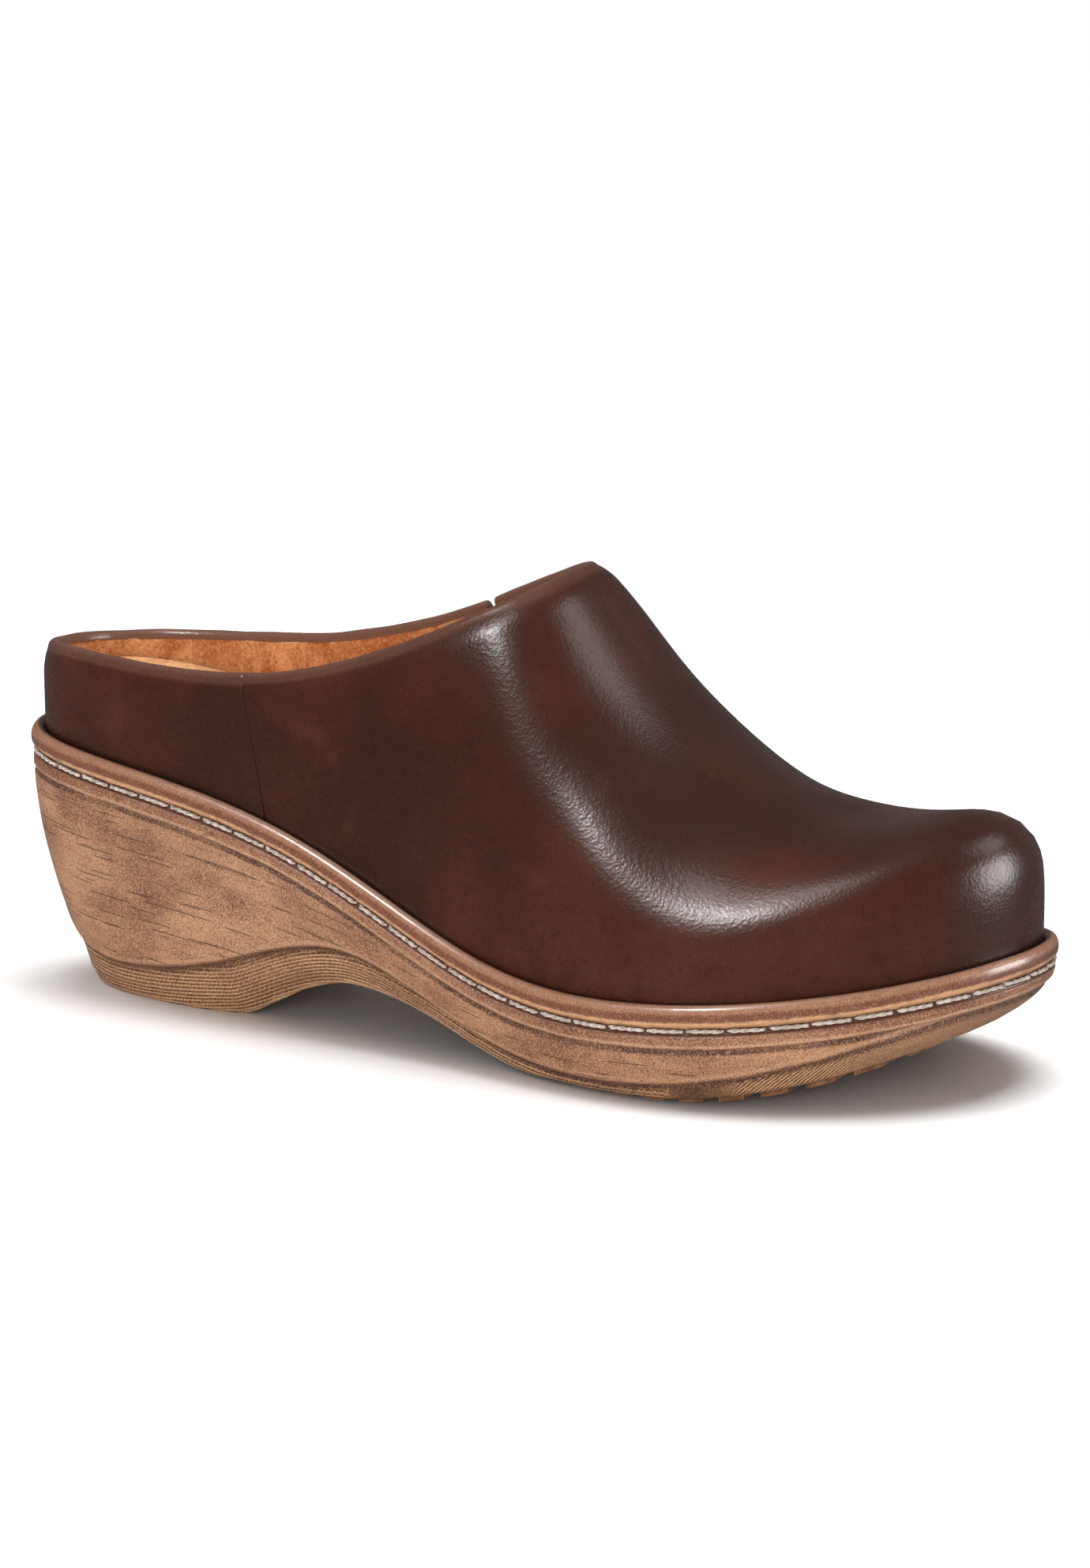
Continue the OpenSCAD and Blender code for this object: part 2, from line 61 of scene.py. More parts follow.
def make_camera():
    ca, sa, ce, se = math.cos(CAM_AZ), math.sin(CAM_AZ), math.cos(CAM_EL), math.sin(CAM_EL)
    right = Vector((ca, sa, 0))
    forward = Vector((-sa * ce, ca * ce, -se))
    up = right.cross(forward)
    data = bpy.data.cameras.new("camera")
    data.sensor_fit = "VERTICAL"
    data.sensor_height = SENSOR
    data.lens = SENSOR * FOCAL_PX / IMAGE_H
    data.clip_start, data.clip_end = 0.05, 50.0
    cam = add_object("camera", data)
    cam.location = AIM - forward * CAM_DIST
    look = forward * FOCAL_PX + right * (IMAGE_W / 2 - AIM_PX[0]) + up * (AIM_PX[1] - IMAGE_H / 2)
    cam.rotation_mode = "QUATERNION"
    cam.rotation_quaternion = look.to_track_quat("-Z", "Y")
    SCENE.camera = cam


make_camera()

# ---------------------------------------------------------------- curves of the shoe, in mm
# Stations run round the plan from the heel's middle: 0 to 10 on the outer side, 10 to 20 on the inner.
STATIONS = 20
MID = np.array([133.65, 1.5, 0.0])            # the shoe's own point at the frame's origin
CORE = np.array([130, 0, 55])                 # a point inside the shoe, to tell out from in
PLAN = np.array([(0, 0), (5, -22), (29, -35), (68, -37), (105, -38), (140, -41.5), (172, -49.5),
                 (205, -50.5), (234, -38.5), (259, -18), (268.5, 10), (260, 34), (239, 48),
                 (208, 53), (176, 49.5), (142, 37), (105, 28), (68, 29), (30, 31), (6, 20)], float)
TUCK = np.array([19, 16, 10, 9, 8, 7, 5, 5, 8, 14, 17, 14, 8, 5, 5, 7, 8, 9, 10, 16], float)
STITCH = np.array([58.8, 56.5, 53.5, 49.5, 42.5, 31.5, 21, 17, 17.5, 19.5, 22.5, 27.5])
SPINE_X = np.array([36, 36, 36, 69, 105, 140, 173, 203, 226, 241, 247, 241, 226, 203, 173, 140,
                    105, 69, 36, 36], float)
SPINE_SPAN = (30, 255)                        # x of the first and last value of the next four
SPINE_Y = np.array([0, -1, -2, -2, -1, 0, 1, 2, 3, 5, 7, 8], float)
RIDGE = np.array([128, 130, 131, 131.5, 131, 130, 127.8, 123.8, 114.3, 92.2, 77.3, 67.5, 62, 58.4, 62, 65.3])
ROUND = np.array([2.8, 2.8, 2.7, 2.5, 2.4, 2.3, 2.3, 2.3, 2.3, 2.2, 2.2, 1.9, 1.9, 2.8, 4, 4])
BULGE = np.array([.03, .03, .03, .03, .03, .03, .03, .03, .04, .05, .07, .08, .08, .055, .01, .03])
TOP_SPAN = (0, 180)
TOP_OUT = np.array([85.5, 86, 85.6, 84.6, 84.2, 84.6, 86.6, 90.6, 95.8, 103, 109, 116, 123])
TOP_IN = np.array([81, 81.8, 82.5, 83.2, 84.2, 86.5, 90.3, 95, 101.5, 108.8, 115, 121, 128])
SEAM_OUT, SEAM_IN = 3.33, 15.77       # stations of the two seams
LEAN_LOW, LEAN_TOP = 0.13, -0.06      # how far the outer seam leans from its station, at the sole and at the top
FEATHER = 3.0                         # leather's distance in from the stitch line
LEATHER, LINING_OUT, LINING_IN, COLLAR = 1.8, 3.05, 4.05, 4.2       # depths under the outer skin
SHOULDER, SHOULDER_LEN = 1.1, 6.5     # how far, and over what length, the leather turns in towards its edge
OFF = 60.0                            # a distance large enough to keep a surface field out of its effects


def weights(u):
    return [(1 - u) ** 3 / 6, (3 * u ** 3 - 6 * u ** 2 + 4) / 6,
            (-3 * u ** 3 + 3 * u ** 2 + 3 * u + 1) / 6, u ** 3 / 6]


def slopes(u):
    return [-(1 - u) ** 2 / 2, (3 * u ** 2 - 4 * u) / 2, (-3 * u ** 2 + 2 * u + 1) / 2, u ** 2 / 2]


def ring(points, t, basis=weights):
    """Closed uniform cubic B-spline through one control point for each station."""
    t = np.asarray(t, float) % STATIONS
    i = np.floor(t).astype(int)
    out = 0
    for k, b in enumerate(basis(t - i)):
        q = points[(i + k - 1) % STATIONS]
        out = out + (b[..., None] * q if q.ndim > b.ndim else b * q)
    return out


def along(points, x, lo, hi):
    """Open spline of heights or widths over x, with its ends at lo and hi."""
    n = len(points)
    e = np.concatenate([[3 * points[0] - 3 * points[1] + points[2], 2 * points[0] - points[1]], points,
                        [2 * points[-1] - points[-2], 3 * points[-1] - 3 * points[-2] + points[-3]]])
    s = np.clip((np.asarray(x, float) - lo) / (hi - lo), -0.1, 1.1) * (n - 1)
    i = np.clip(np.floor(s).astype(int), -1, n - 1)
    return sum(w * e[np.minimum(n + 3, i + 1 + k)] for k, w in enumerate(weights(s - i)))


def stitch_z(x):
    return along(STITCH, x, 0, 265)


def ramp01(a, b, x):
    u = np.clip((np.asarray(x, float) - a) / (b - a), 0, 1)
    return u * u * (3 - 2 * u)


def ground_z(x):
    u = np.clip((x - 72) / 98, 0, 1)
    return 12.3 * u ** 1.5 * (1 - u) ** 2.5 / 0.0709 + 0.0042 * np.maximum(0, x - 196) ** 2


def body_z(x):
    return np.maximum(ground_z(x), np.where(x < 120, 3.5, 0)) + ramp01(150, 172, x) + 0.8 * ramp01(194, 218, x)


def cut_z(x, y):
    """Height of the opening's edge: one line on the outer side, one on the inner side, straight between."""
    k = (y + 32) / 60
    return along(TOP_OUT, x, *TOP_SPAN) * (1 - k) + along(TOP_IN, x, *TOP_SPAN) * k


def from_heel(t):
    """Stations away from the middle of the heel, the same on both sides."""
    return np.minimum(t, STATIONS - t)


def unit(v):
    return v / np.linalg.norm(v, axis=-1, keepdims=True)


def without(v, d):
    """v with its share along the unit vectors d taken away, made unit length."""
    return unit(v - (v * d).sum(-1, keepdims=True) * d)


def with_z(q, z):
    return np.concatenate([q, np.asarray(z)[..., None]], -1)


def edge(t, d):
    """Points at a distance d in from the plan's edge."""
    p = ring(PLAN, t)
    v = unit(ring(PLAN, t, slopes))
    return p + np.stack([-v[..., 1], v[..., 0]], -1) * np.asarray(d, float)[..., None]


def edge_up(t, d, dz):
    """The same at a height dz above the stitch line."""
    p = edge(t, d)
    return with_z(p, stitch_z(p[..., 0]) + dz)


def skin(t, a):
    """The upper's outer surface before it is cut: a is 0 at the sole and pi/2 on the ridge."""
    o = edge(t, FEATHER)
    cx = ring(SPINE_X, t)
    cy, n, b = (along(values, cx, *SPINE_SPAN) for values in (SPINE_Y, ROUND, BULGE))
    c, s = np.maximum(np.cos(a), 0), np.sin(a)
    g = c ** (2 / n) * (1 + 2.6 * b * s * c * c)
    zo = stitch_z(o[..., 0]) + 5
    zt = along(RIDGE, cx, *SPINE_SPAN)
    return np.stack([cx + (o[..., 0] - cx) * g, cy + (o[..., 1] - cy) * g, zo + (zt - zo) * s ** (2 / n)], -1)


def top_a(t, drop):
    """The value of a at which the skin reaches a line that lies a drop below the opening's edge."""
    t = np.asarray(t, float)
    lo, hi = np.full(t.shape, 0.02), np.full(t.shape, np.pi / 2)
    p = skin(t, hi)
    shut = (p[..., 2] <= cut_z(p[..., 0], p[..., 1]) - drop) | (ring(SPINE_X, t) > 165)
    for _ in range(36):
        m = (lo + hi) / 2
        p = skin(t, m)
        over = p[..., 2] > cut_z(p[..., 0], p[..., 1]) - drop
        hi, lo = np.where(over, m, hi), np.where(over, lo, m)
    return np.where(shut, np.pi / 2, (lo + hi) / 2)


def through(values):
    """Control points of a closed curve that passes through one value for each station."""
    m = np.eye(STATIONS) * 4 + np.eye(STATIONS, k=1) + np.eye(STATIONS, k=-1)
    m[0, -1] = m[-1, 0] = 1
    return np.linalg.solve(m / 6, np.asarray(values, float))


# ---------------------------------------------------------------- mesh tools
def place(p):
    return (np.asarray(p, float) - MID) * 0.001


def finish_mesh(name, verts, faces, uvs=None, fields=None):
    """verts in mm; faces a list of index lists; uvs one pair for each face corner."""
    me = bpy.data.meshes.new(name)
    me.from_pydata(place(verts).tolist(), [], faces)
    me.polygons.foreach_set("use_smooth", [True] * len(me.polygons))
    if uvs is not None:
        layer = me.uv_layers.new(name="UVMap")
        layer.data.foreach_set("uv", np.asarray(uvs, np.float32).ravel())
    for key, vals in (fields or {}).items():
        a = me.attributes.new(key, "FLOAT", "POINT")
        a.data.foreach_set("value", np.asarray(vals, np.float32).ravel())
    me.update()
    return add_object(name, me)


def grid_faces(n, m, wrap_n=False, wrap_m=False):
    """Quads of an n by m grid, and the unwrapped grid place of each corner."""
    i = np.arange(n if wrap_n else n - 1)
    j = np.arange(m if wrap_m else m - 1)
    i, j = np.meshgrid(i, j, indexing="ij")
    i, j = i.ravel(), j.ravel()
    i2, j2 = (i + 1) % n, (j + 1) % m
    q = np.stack([i * m + j, i2 * m + j, i2 * m + j2, i * m + j2], -1)
    un = np.stack([np.stack([i, j], -1), np.stack([i + 1, j], -1), np.stack([i + 1, j + 1], -1),
                   np.stack([i, j + 1], -1)], 1)
    return q, un


def end_caps(n, m, first=0):
    """The two end faces of a tube of n rings with m points each."""
    return [[first + k for k in range(m)], [first + (n - 1) * m + k for k in range(m)][::-1]]


def outward(ob, weld=0.0):
    """Joins points closer than weld, in metres, and turns all faces outwards."""
    bm = bmesh.new()
    bm.from_mesh(ob.data)
    if weld:
        bmesh.ops.remove_doubles(bm, verts=bm.verts, dist=weld)
    bmesh.ops.recalc_face_normals(bm, faces=bm.faces)
    bm.to_mesh(ob.data)
    bm.free()


def normals(P):
    """Normals of a grid of points, by differences."""
    n = np.cross(np.gradient(P, axis=0), np.gradient(P, axis=1))
    return n / np.maximum(np.linalg.norm(n, axis=-1, keepdims=True), 1e-9)


def away_from_core(N, i, j, point):
    """Turns a grid of normals over if the one at i, j looks into the shoe."""
    return -N if N[i, j] @ (point - CORE) < 0 else N


def lengths(P):
    """Length of a polyline up to each of its points."""
    d = np.linalg.norm(np.diff(P, axis=0), axis=-1)
    return np.concatenate([[0], np.cumsum(d)])


def resample(P, s):
    """Points of a polyline at fractions s of its length."""
    L = lengths(P)
    return np.stack([np.interp(np.asarray(s) * L[-1], L, P[:, k]) for k in range(P.shape[1])], -1)


def smooth_noise(P, size, seed, octaves=1):
    """Soft random field over points in mm, made of a few sine waves in random directions."""
    r = np.random.default_rng(seed)
    out, amp, tot = 0, 1.0, 0
    for o in range(octaves):
        for _ in range(9):
            d = r.normal(size=3)
            d /= np.linalg.norm(d)
            k = 2 * np.pi / size * 2 ** o * r.uniform(0.6, 1.5)
            out = out + amp * np.sin(P @ d * k + r.uniform(0, 6.28))
        tot += amp * 3
        amp *= 0.5
    return out / tot


FINE = np.linspace(0, STATIONS, 4001)         # stations close together, for lengths along a curve
PLAN_LEN = lengths(ring(PLAN, FINE))


# ---------------------------------------------------------------- the upper's skin
def bubble():
    """The whole skin as a search tree."""
    t, a = np.meshgrid(np.linspace(0, STATIONS, 801), np.linspace(0, np.pi / 2, 111), indexing="ij")
    P = np.concatenate([edge_up(t[:, :1], np.full_like(t[:, :1], FEATHER), 0.5), skin(t, a)], 1)
    q, _ = grid_faces(*P.shape[:2])
    return BVHTree.FromPolygons([Vector(p) for p in P.reshape(-1, 3)], q.tolist(), epsilon=0.0)


SKIN = bubble()


def onto_skin(P):
    flat = P.reshape(-1, 3)
    out = np.empty_like(flat)
    for i, p in enumerate(flat):
        out[i] = SKIN.find_nearest(Vector(p))[0]
    return out.reshape(P.shape)


RIM_DROP = 2.0          # the outer skin ends here, and the edge rolls over from it
FOOT_UP = 2.0           # height above the stitch line at which the leather goes behind the bead
SLIT = 2.4 / 37         # width of the slit at the top, in stations


def seam_curve(t_low, t_top, n, shift=lambda h: 0 * h):
    """From the top edge down to the sole, on the skin."""
    h = np.linspace(0, 1, 400)          # 0 at the sole, 1 at the top
    t = t_low + (t_top - t_low) * h + shift(h)
    a = top_a(t, RIM_DROP)
    up = skin(t, h * a)
    foot = edge_up(t[:1], np.full(1, FEATHER), FOOT_UP)
    return resample(np.concatenate([foot, up])[::-1], np.linspace(0, 1, n))


def rim_front(t_a, t_b, n):
    """Top edge of the front, from the outer seam over the instep to the slit."""
    def apex(lo, hi):
        for _ in range(40):
            m = (lo + hi) / 2
            p = skin(np.array([m]), np.array([np.pi / 2]))[0]
            if p[2] > cut_z(p[0], p[1]) - RIM_DROP:
                lo = m
            else:
                hi = m
        return lo
    q = np.linspace(1, 0, 3000) ** 3
    ta = apex(4.3, 6.2)
    left = ta + (t_a - ta) * q
    tb = STATIONS - ta
    right = (tb + (t_b - tb) * q)[::-1]
    P = np.concatenate([skin(left, top_a(left, RIM_DROP)), skin(right, top_a(right, RIM_DROP))])
    keep = np.concatenate([[True], np.linalg.norm(np.diff(P, axis=0), axis=1) > 1e-5])
    return resample(P[keep], np.linspace(0, 1, n))


def cubic_at(P, s):
    """Catmull-Rom through the rows of P at fractional positions s."""
    n = len(P)
    E = np.concatenate([[2 * P[0] - P[1]], P, [2 * P[-1] - P[-2]]])
    i = np.clip(np.floor(s).astype(int), 0, n - 2)
    u = (s - i).reshape((-1,) + (1,) * (P.ndim - 1))
    a, b, c, d = E[i], E[i + 1], E[i + 2], E[i + 3]
    return 0.5 * (2 * b + (c - a) * u + (2 * a - 5 * b + 4 * c - d) * u ** 2 + (3 * b - a - 3 * c + d) * u ** 3)


def front_grid():
    """Even grid over the front: [column along the rim][row from the rim to the sole]."""
    NC, NR = 72, 30
    RELAX, BACK_ON_SKIN = 260, 4         # rounds of evening out, and every how many the grid goes back on the skin

    def slit(h):
        return -SLIT * np.clip((h - 0.5) / 0.5, 0, 1)
    first = seam_curve(SEAM_OUT + LEAN_LOW, SEAM_OUT + LEAN_TOP, NR)
    last = seam_curve(SEAM_IN, SEAM_IN, NR, slit)
    rim = rim_front(SEAM_OUT + LEAN_TOP, SEAM_IN - SLIT, NC)
    t = np.linspace(SEAM_OUT + LEAN_LOW, SEAM_IN, 3000)
    foot = resample(edge_up(t, np.full_like(t, FEATHER), FOOT_UP), np.linspace(0, 1, NC))
    r = np.linspace(0, 1, NR)[None, :, None]
    P = rim[:, None] * (1 - r) + foot[:, None] * r
    middle_x = np.clip(P[..., 0], 60, 222)
    middle = np.stack([middle_x, np.full(P.shape[:2], 2.0), stitch_z(middle_x) + 8], -1)
    for i in range(NC):
        for j in range(1, NR - 1):
            d = Vector(P[i, j] - middle[i, j]).normalized()
            hit = SKIN.ray_cast(Vector(middle[i, j]), d)[0]
            if hit is not None:
                P[i, j] = hit
    P[:, 0], P[:, -1], P[0], P[-1] = rim, foot, first, last
    for k in range(RELAX):
        Q = P.copy()
        Q[1:-1, 1:-1] = (P[:-2, 1:-1] + P[2:, 1:-1] + P[1:-1, :-2] + P[1:-1, 2:]) / 4
        if k % BACK_ON_SKIN == BACK_ON_SKIN - 1:
            Q[1:-1, 1:-1] = onto_skin(Q[1:-1, 1:-1])
        P = Q
    # finer, with extra columns by the two seams
    near = np.array([0, .05, .1, .16, .23, .32, .45, .65])
    s = np.concatenate([near, np.linspace(1, NC - 2, 260), (NC - 1) - near[::-1]])
    r = np.linspace(0, 1, 118) * (NR - 1)
    P = cubic_at(P, s)
    P = np.swapaxes(cubic_at(np.swapaxes(P, 0, 1), r), 0, 1)
    Q = onto_skin(P)
    for _ in range(2):
        Q[1:-1, 1:-1] = Q[1:-1, 1:-1] * .5 + (Q[:-2, 1:-1] + Q[2:, 1:-1] + Q[1:-1, :-2] + Q[1:-1, 2:]) / 8
    return Q


def back_grid():
    """The same over the back, round the heel from the inner seam to the outer one."""
    near = np.array([0, .004, .009, .015, .023, .034, .05, .08])
    a, b = SEAM_IN - STATIONS, SEAM_OUT
    t = np.concatenate([a + near, np.linspace(a + .12, b - .12, 230), b - near[::-1]])
    cols = []
    for tk in t:
        lean = ramp01(b - 1.0, b, tk)
        cols.append(seam_curve(tk + LEAN_LOW * lean, tk + LEAN_TOP * lean, 70))
    return np.array(cols)


def rim_frame(P):
    """Normals of the grid, and at its edge the directions out of the skin and up along it."""
    half = len(P) // 2
    N = away_from_core(normals(P), half, 5, P[half, 5])
    tang = unit(np.gradient(P[:, 0], axis=0))
    n0 = without(N[:, 0], tang)
    return N, n0, without(without(P[:, 0] - P[:, 2], tang), n0)


def leather_piece(name, P, wobble):
    """Closed solid: outer skin, edge rolled over, strip turned down inside, back of the leather."""
    n, m = P.shape[:2]
    N, n0, up = rim_frame(P)
    ends = lengths(P[:, m // 3])
    dist = np.minimum(ends, ends[-1] - ends)                       # distance from the nearer seam
    valley = 0.16 * np.exp(-(dist / 0.35) ** 2)                    # the seam's shallow valley
    soft = smooth_noise(P, 40, wobble, 2) * 0.10
    fade = np.minimum(1, np.arange(m) / 12) * np.minimum(1, (m - 1 - np.arange(m)) / 6)
    D = np.array([lengths(c) for c in P])
    turn_in = SHOULDER * np.clip(1 - D / SHOULDER_LEN, 0, 1) ** 2     # rounds the edge's outer shoulder
    O = P + N * (soft * fade[None, :] - valley[:, None] - turn_in)[..., None]
    half, tall = (COLLAR - SHOULDER) / 2, 2.0
    wave = 1 + 0.05 * smooth_noise(P[:, 0], 14, wobble + 2)
    roll = []
    for f in np.linspace(0, np.pi, 15)[1:]:
        out = SHOULDER + half * (1 - math.cos(f))
        pull = valley * max(0.0, math.cos(f))
        rise = math.sin(f) * tall * wave * (1 - .05 * np.exp(-(dist / 0.5) ** 2))
        roll.append(P[:, 0] - n0 * (out + pull)[:, None] + up * rise[:, None])

    def at(s, field):
        return np.array([[np.interp(s, D[i], field[i, :, k]) for k in range(3)] for i in range(n)])
    # short strip on the inside
    strip = [at(s, P) - unit(at(s, N)) * depth
             for s, depth in ((0.12, COLLAR), (0.25, COLLAR - 0.1), (0.35, COLLAR - 0.6))]
    back = [P[:, j] - N[:, j] * LEATHER for j in np.linspace(2, m - 1, 18).astype(int)]
    # loop of one column: sole, outer skin up, roll, strip, back of the leather down
    loop = [O[:, j] for j in range(m - 1, -1, -1)] + roll + strip + back
    G = np.stack(loop, 1)
    K = G.shape[1]
    q, _ = grid_faces(n, K, wrap_m=True)
    # share of the lighter edge colour: the cut edge's own tone and painted sheen, rising from the outer skin over
    # the roll to the strip
    at_edge = np.concatenate([.3 * ramp01(m - 4, m - 1, np.arange(m)), np.linspace(.3, 1, len(roll)),
                              np.ones(len(strip)), np.zeros(len(back))])
    ob = finish_mesh(name, G.reshape(-1, 3), q.tolist() + end_caps(n, K), fields={
        "seam": np.repeat(dist[:, None], K, 1),
        "edge": np.tile(at_edge, (n, 1)),
        # distance up from the leather's lower end; the material paints shade from it where the leather goes behind
        # the welt
        "foot": np.concatenate([(D[:, -1:] - D)[:, ::-1], np.full((n, K - m), OFF)], 1)})
    outward(ob)
    return ob, N


def sheet_piece(name, P, N, wobble, lumps):
    """Closed sheet of lining under a grid."""
    soft = smooth_noise(P, 7, wobble, 2) * lumps
    return two_sided(name, P - N * (LINING_IN + soft)[..., None], P - N * LINING_OUT)


def two_sided(name, A, B):
    """Closed solid between two grids of the same size."""
    n, m = A.shape[:2]
    G = np.concatenate([A, B[:, ::-1]], 1)
    q, _ = grid_faces(n, 2 * m, wrap_m=True)
    ob = finish_mesh(name, G.reshape(-1, 3), q.tolist() + end_caps(n, 2 * m))
    outward(ob)
    return ob


front, back = front_grid(), back_grid()
vamp_ob, front_n = leather_piece("front_leather", front, 11)
quarter_ob, back_n = leather_piece("back_leather", back, 23)
vamp_lining_ob = sheet_piece("front_lining", front[::2, ::2], front_n[::2, ::2], 31, 0.2)
quarter_lining_ob = sheet_piece("back_lining", back[::2], back_n[::2], 37, 0.22)


# ---------------------------------------------------------------- elastic behind the slit
def make_elastic():
    n, m = 90, 60
    t = np.linspace(-4.56, -3.93, n)         # a little past the slit on both sides
    drops = np.linspace(2.2, 34, m)          # from just under the opening's edge downwards
    P = np.array([skin(np.full(m, tk), top_a(np.full(m, tk), drops)) for tk in t])
    N = away_from_core(normals(P), n // 2, m // 2, P[n // 2, m // 2])
    rib = 0.13 * np.sin(np.arange(n) * 2 * np.pi / 5)[:, None]
    return two_sided("gore_webbing", P - N * (2.0 - rib)[..., None], P - N * 2.85)


elastic_ob = make_elastic()

# ---------------------------------------------------------------- sole
DENT_AT_SEAM = 0.25     # how far the lower wall lies inside its plain curve, where the heel piece starts
CHANNEL = -1.25         # height of the sole's top face, under the welt, from the stitch line
WAVE = through([31, 17.5, 8.8, 13.4, 21.8, 10.0, 3.8, 5.6, 12.6, 20.6, 22.4,
                20.6, 12.6, 5.6, 3.8, 10.0, 21.8, 13.4, 8.8, 17.5])     # height of the carved line


def groove(x, centre, half):
    return np.exp(-((x - centre) / half) ** 2)


def breast(x):
    """How far the lower edge turns in where the heel ends and the arch starts."""
    return 3.4 * ramp01(58, 80, x) * (1 - ramp01(92, 118, x))


def near_ground(over):
    return (1 - ramp01(0, 8, over)) ** 1.4


def grain_v(G):
    """Second texture direction: the grain follows part of the stitch line's slope."""
    return G[:, :, 2] - 0.6 * stitch_z(G[:, :, 0])


def make_sole():
    """Moulded body: wall with carved lines, rounded lower edge, flat top and underside."""
    n, m = 740, 116
    u = np.linspace(0, PLAN_LEN[-1], n, endpoint=False)
    t = np.interp(u, PLAN_LEN, FINE)
    o = ring(PLAN, t)
    tuck = ring(TUCK, t)
    low = edge(t, tuck)
    z0 = stitch_z(o[:, 0])
    za, zb, zg = z0 - 1.35, body_z(low[:, 0]), ground_z(low[:, 0])
    z = za[:, None] + (zb - za)[:, None] * np.linspace(0, 1, m)[None, :]
    k = (z0[:, None] - z) / (z0 - zg)[:, None]
    below, above, over = z0[:, None] - z, z - zb[:, None], z - zg[:, None]
    wz = ring(WAVE, t)[:, None] - z
    side = from_heel(t)[:, None]
    deep = (1 - ramp01(4.8, 6.0, side) * 0.6) * (1 - 0.75 * ramp01(7.0, 8.2, side))
    dent = (0.50 * groove(below, 4.9, 0.70) - 0.12 * groove(below, 3.6, 0.5)
            + deep * (1.15 * groove(wz, 0.9, 1.0) + 0.65 * ramp01(-0.5, 1.5, wz) * (1 - ramp01(4, 12, wz))
                      - 0.22 * groove(wz, -1.2, 0.9)))
    dent = dent * ramp01(-0.3, 2.0, above) - 0.12 * groove(above, 0.8, 0.6) * (zb > 3.6)[:, None]
    dent = dent + 0.5 * (1 - ramp01(0, 0.9, above)) ** 2 * ramp01(78, 90, low[:, 0])[:, None]
    dent = dent + 0.45 * (1 - ramp01(1.3, 2.0, below)) ** 2
    tt = np.repeat(t[:, None], m, 1)
    d = tuck[:, None] * k * k + dent + breast(low[:, 0])[:, None] * near_ground(over)
    d = d + 0.05 * smooth_noise(np.stack([tt * 30, z, z], -1), 30, 5)
    wall = with_z(edge(tt, np.minimum(d, 40)), z)
    spine = np.stack([ring(SPINE_X, t), np.full(n, 1.0)], -1)

    def to_spine(base, shares):
        return [base * (1 - s) + spine * s for s in shares]
    inset = edge(t, np.full(n, 3.1))
    flats = to_spine(inset, (1.0, 0.5)) + [inset, edge(t, np.full(n, 0.62))]
    top = [with_z(q, stitch_z(q[:, 0]) + CHANNEL) for q in flats]
    turned = tuck + breast(low[:, 0])
    base = edge(t, turned + 3.4)
    under = [with_z(q, body_z(q[:, 0])) for q in (edge(t, turned + 0.9), base)]
    for q in to_spine(base, (0.02, 0.12, 0.25, 0.4, 0.55, 0.7, 0.85, 1.0)):
        under.append(with_z(q, body_z(q[:, 0]) + 0.4 + 1.5 * ramp01(146, 160, q[:, 0])))
    G = np.stack(top + [wall[:, j] for j in range(m)] + under, 1)
    K = G.shape[1]
    q, un = grid_faces(n, K, wrap_n=True)

    def widen(a, lo, hi):
        return np.concatenate([np.full((n, len(top)), lo), a, np.full((n, len(under)), hi)], 1)
    U = np.concatenate([u, PLAN_LEN[-1:]])
    V = grain_v(G)
    V = np.concatenate([V, V[:1]], 0)
    uv = np.stack([U[un[..., 0]], V[un[..., 0], un[..., 1]]], -1) * 0.001
    ob = finish_mesh("sole_body", G.reshape(-1, 3), q.tolist(), uvs=uv.reshape(-1, 2), fields={
        "below": widen(below, 0, OFF), "wave": widen(wz, -50, OFF), "above": widen(over, OFF, OFF),
        "inside": widen(np.zeros_like(below), 0, 1), "tilt": np.repeat(0.62 * ramp01(6.6, 7.4, side), K, 1)})
    outward(ob, weld=1e-6)
    return ob


sole_ob = make_sole()

# ---------------------------------------------------------------- welt and its stitches
STITCHES = 66
THREAD_IN, THREAD_UP = 0.15, -0.1       # the thread's line, from the plan's edge and from the stitch line
STITCH_LEN = lengths(edge_up(FINE, np.full_like(FINE, THREAD_IN), THREAD_UP))


def make_bead():
    """Rounded welt with the channel that the thread lies in. Section: (inset, height)."""
    sec = np.array([(2.9, 3.2), (2.9, 5.0), (2.3, 5.55), (1.6, 5.75), (0.95, 5.62), (0.35, 5.25), (-0.08, 4.65),
                    (-0.36, 3.9), (-0.48, 3.1), (-0.46, 2.35), (-0.3, 1.7), (-0.02, 1.22), (0.36, 0.92),
                    (0.66, 0.74), (0.84, 0.60), (0.92, 0.35), (0.94, -0.1), (0.86, -0.6), (0.6, -0.9),
                    (0.42, -1.1), (0.5, -1.28), (2.9, -1.28)])
    sec = resample(sec, np.linspace(0, 1, 58))
    n = 1100
    t = np.interp(np.linspace(0, 1, n, endpoint=False), PLAN_LEN / PLAN_LEN[-1], FINE)
    soft = 0.06 * smooth_noise(with_z(ring(PLAN, t), np.zeros(n)), 17, 3, 2)
    phase = np.interp(t, FINE, STITCH_LEN) / (STITCH_LEN[-1] / STITCHES) % 1
    gap = np.clip(1 - np.minimum(phase, 1 - phase) * 9.6 / 0.8, 0, 1)       # a pinch between two stitches
    G = []
    for d, h in sec:
        if 0.6 < h < 5.6 and d < 1:
            G.append(edge_up(t, d + soft, h))
        elif -1.0 < h < 0.6 and d < 1.5:
            G.append(edge_up(t, d - 0.45 * gap * (1 - abs(h + 0.15)), h))
        else:
            G.append(edge_up(t, np.full(n, d), h))
    G = np.stack(G, 1)
    K = G.shape[1]
    q, _ = grid_faces(n, K, wrap_n=True, wrap_m=True)
    ob = finish_mesh("welt_bead", G.reshape(-1, 3), q.tolist(),
                     fields={"up": np.tile(sec[:, 1], (n, 1)), "inset": np.tile(sec[:, 0], (n, 1))})
    outward(ob)
    return ob


bead_ob = make_bead()


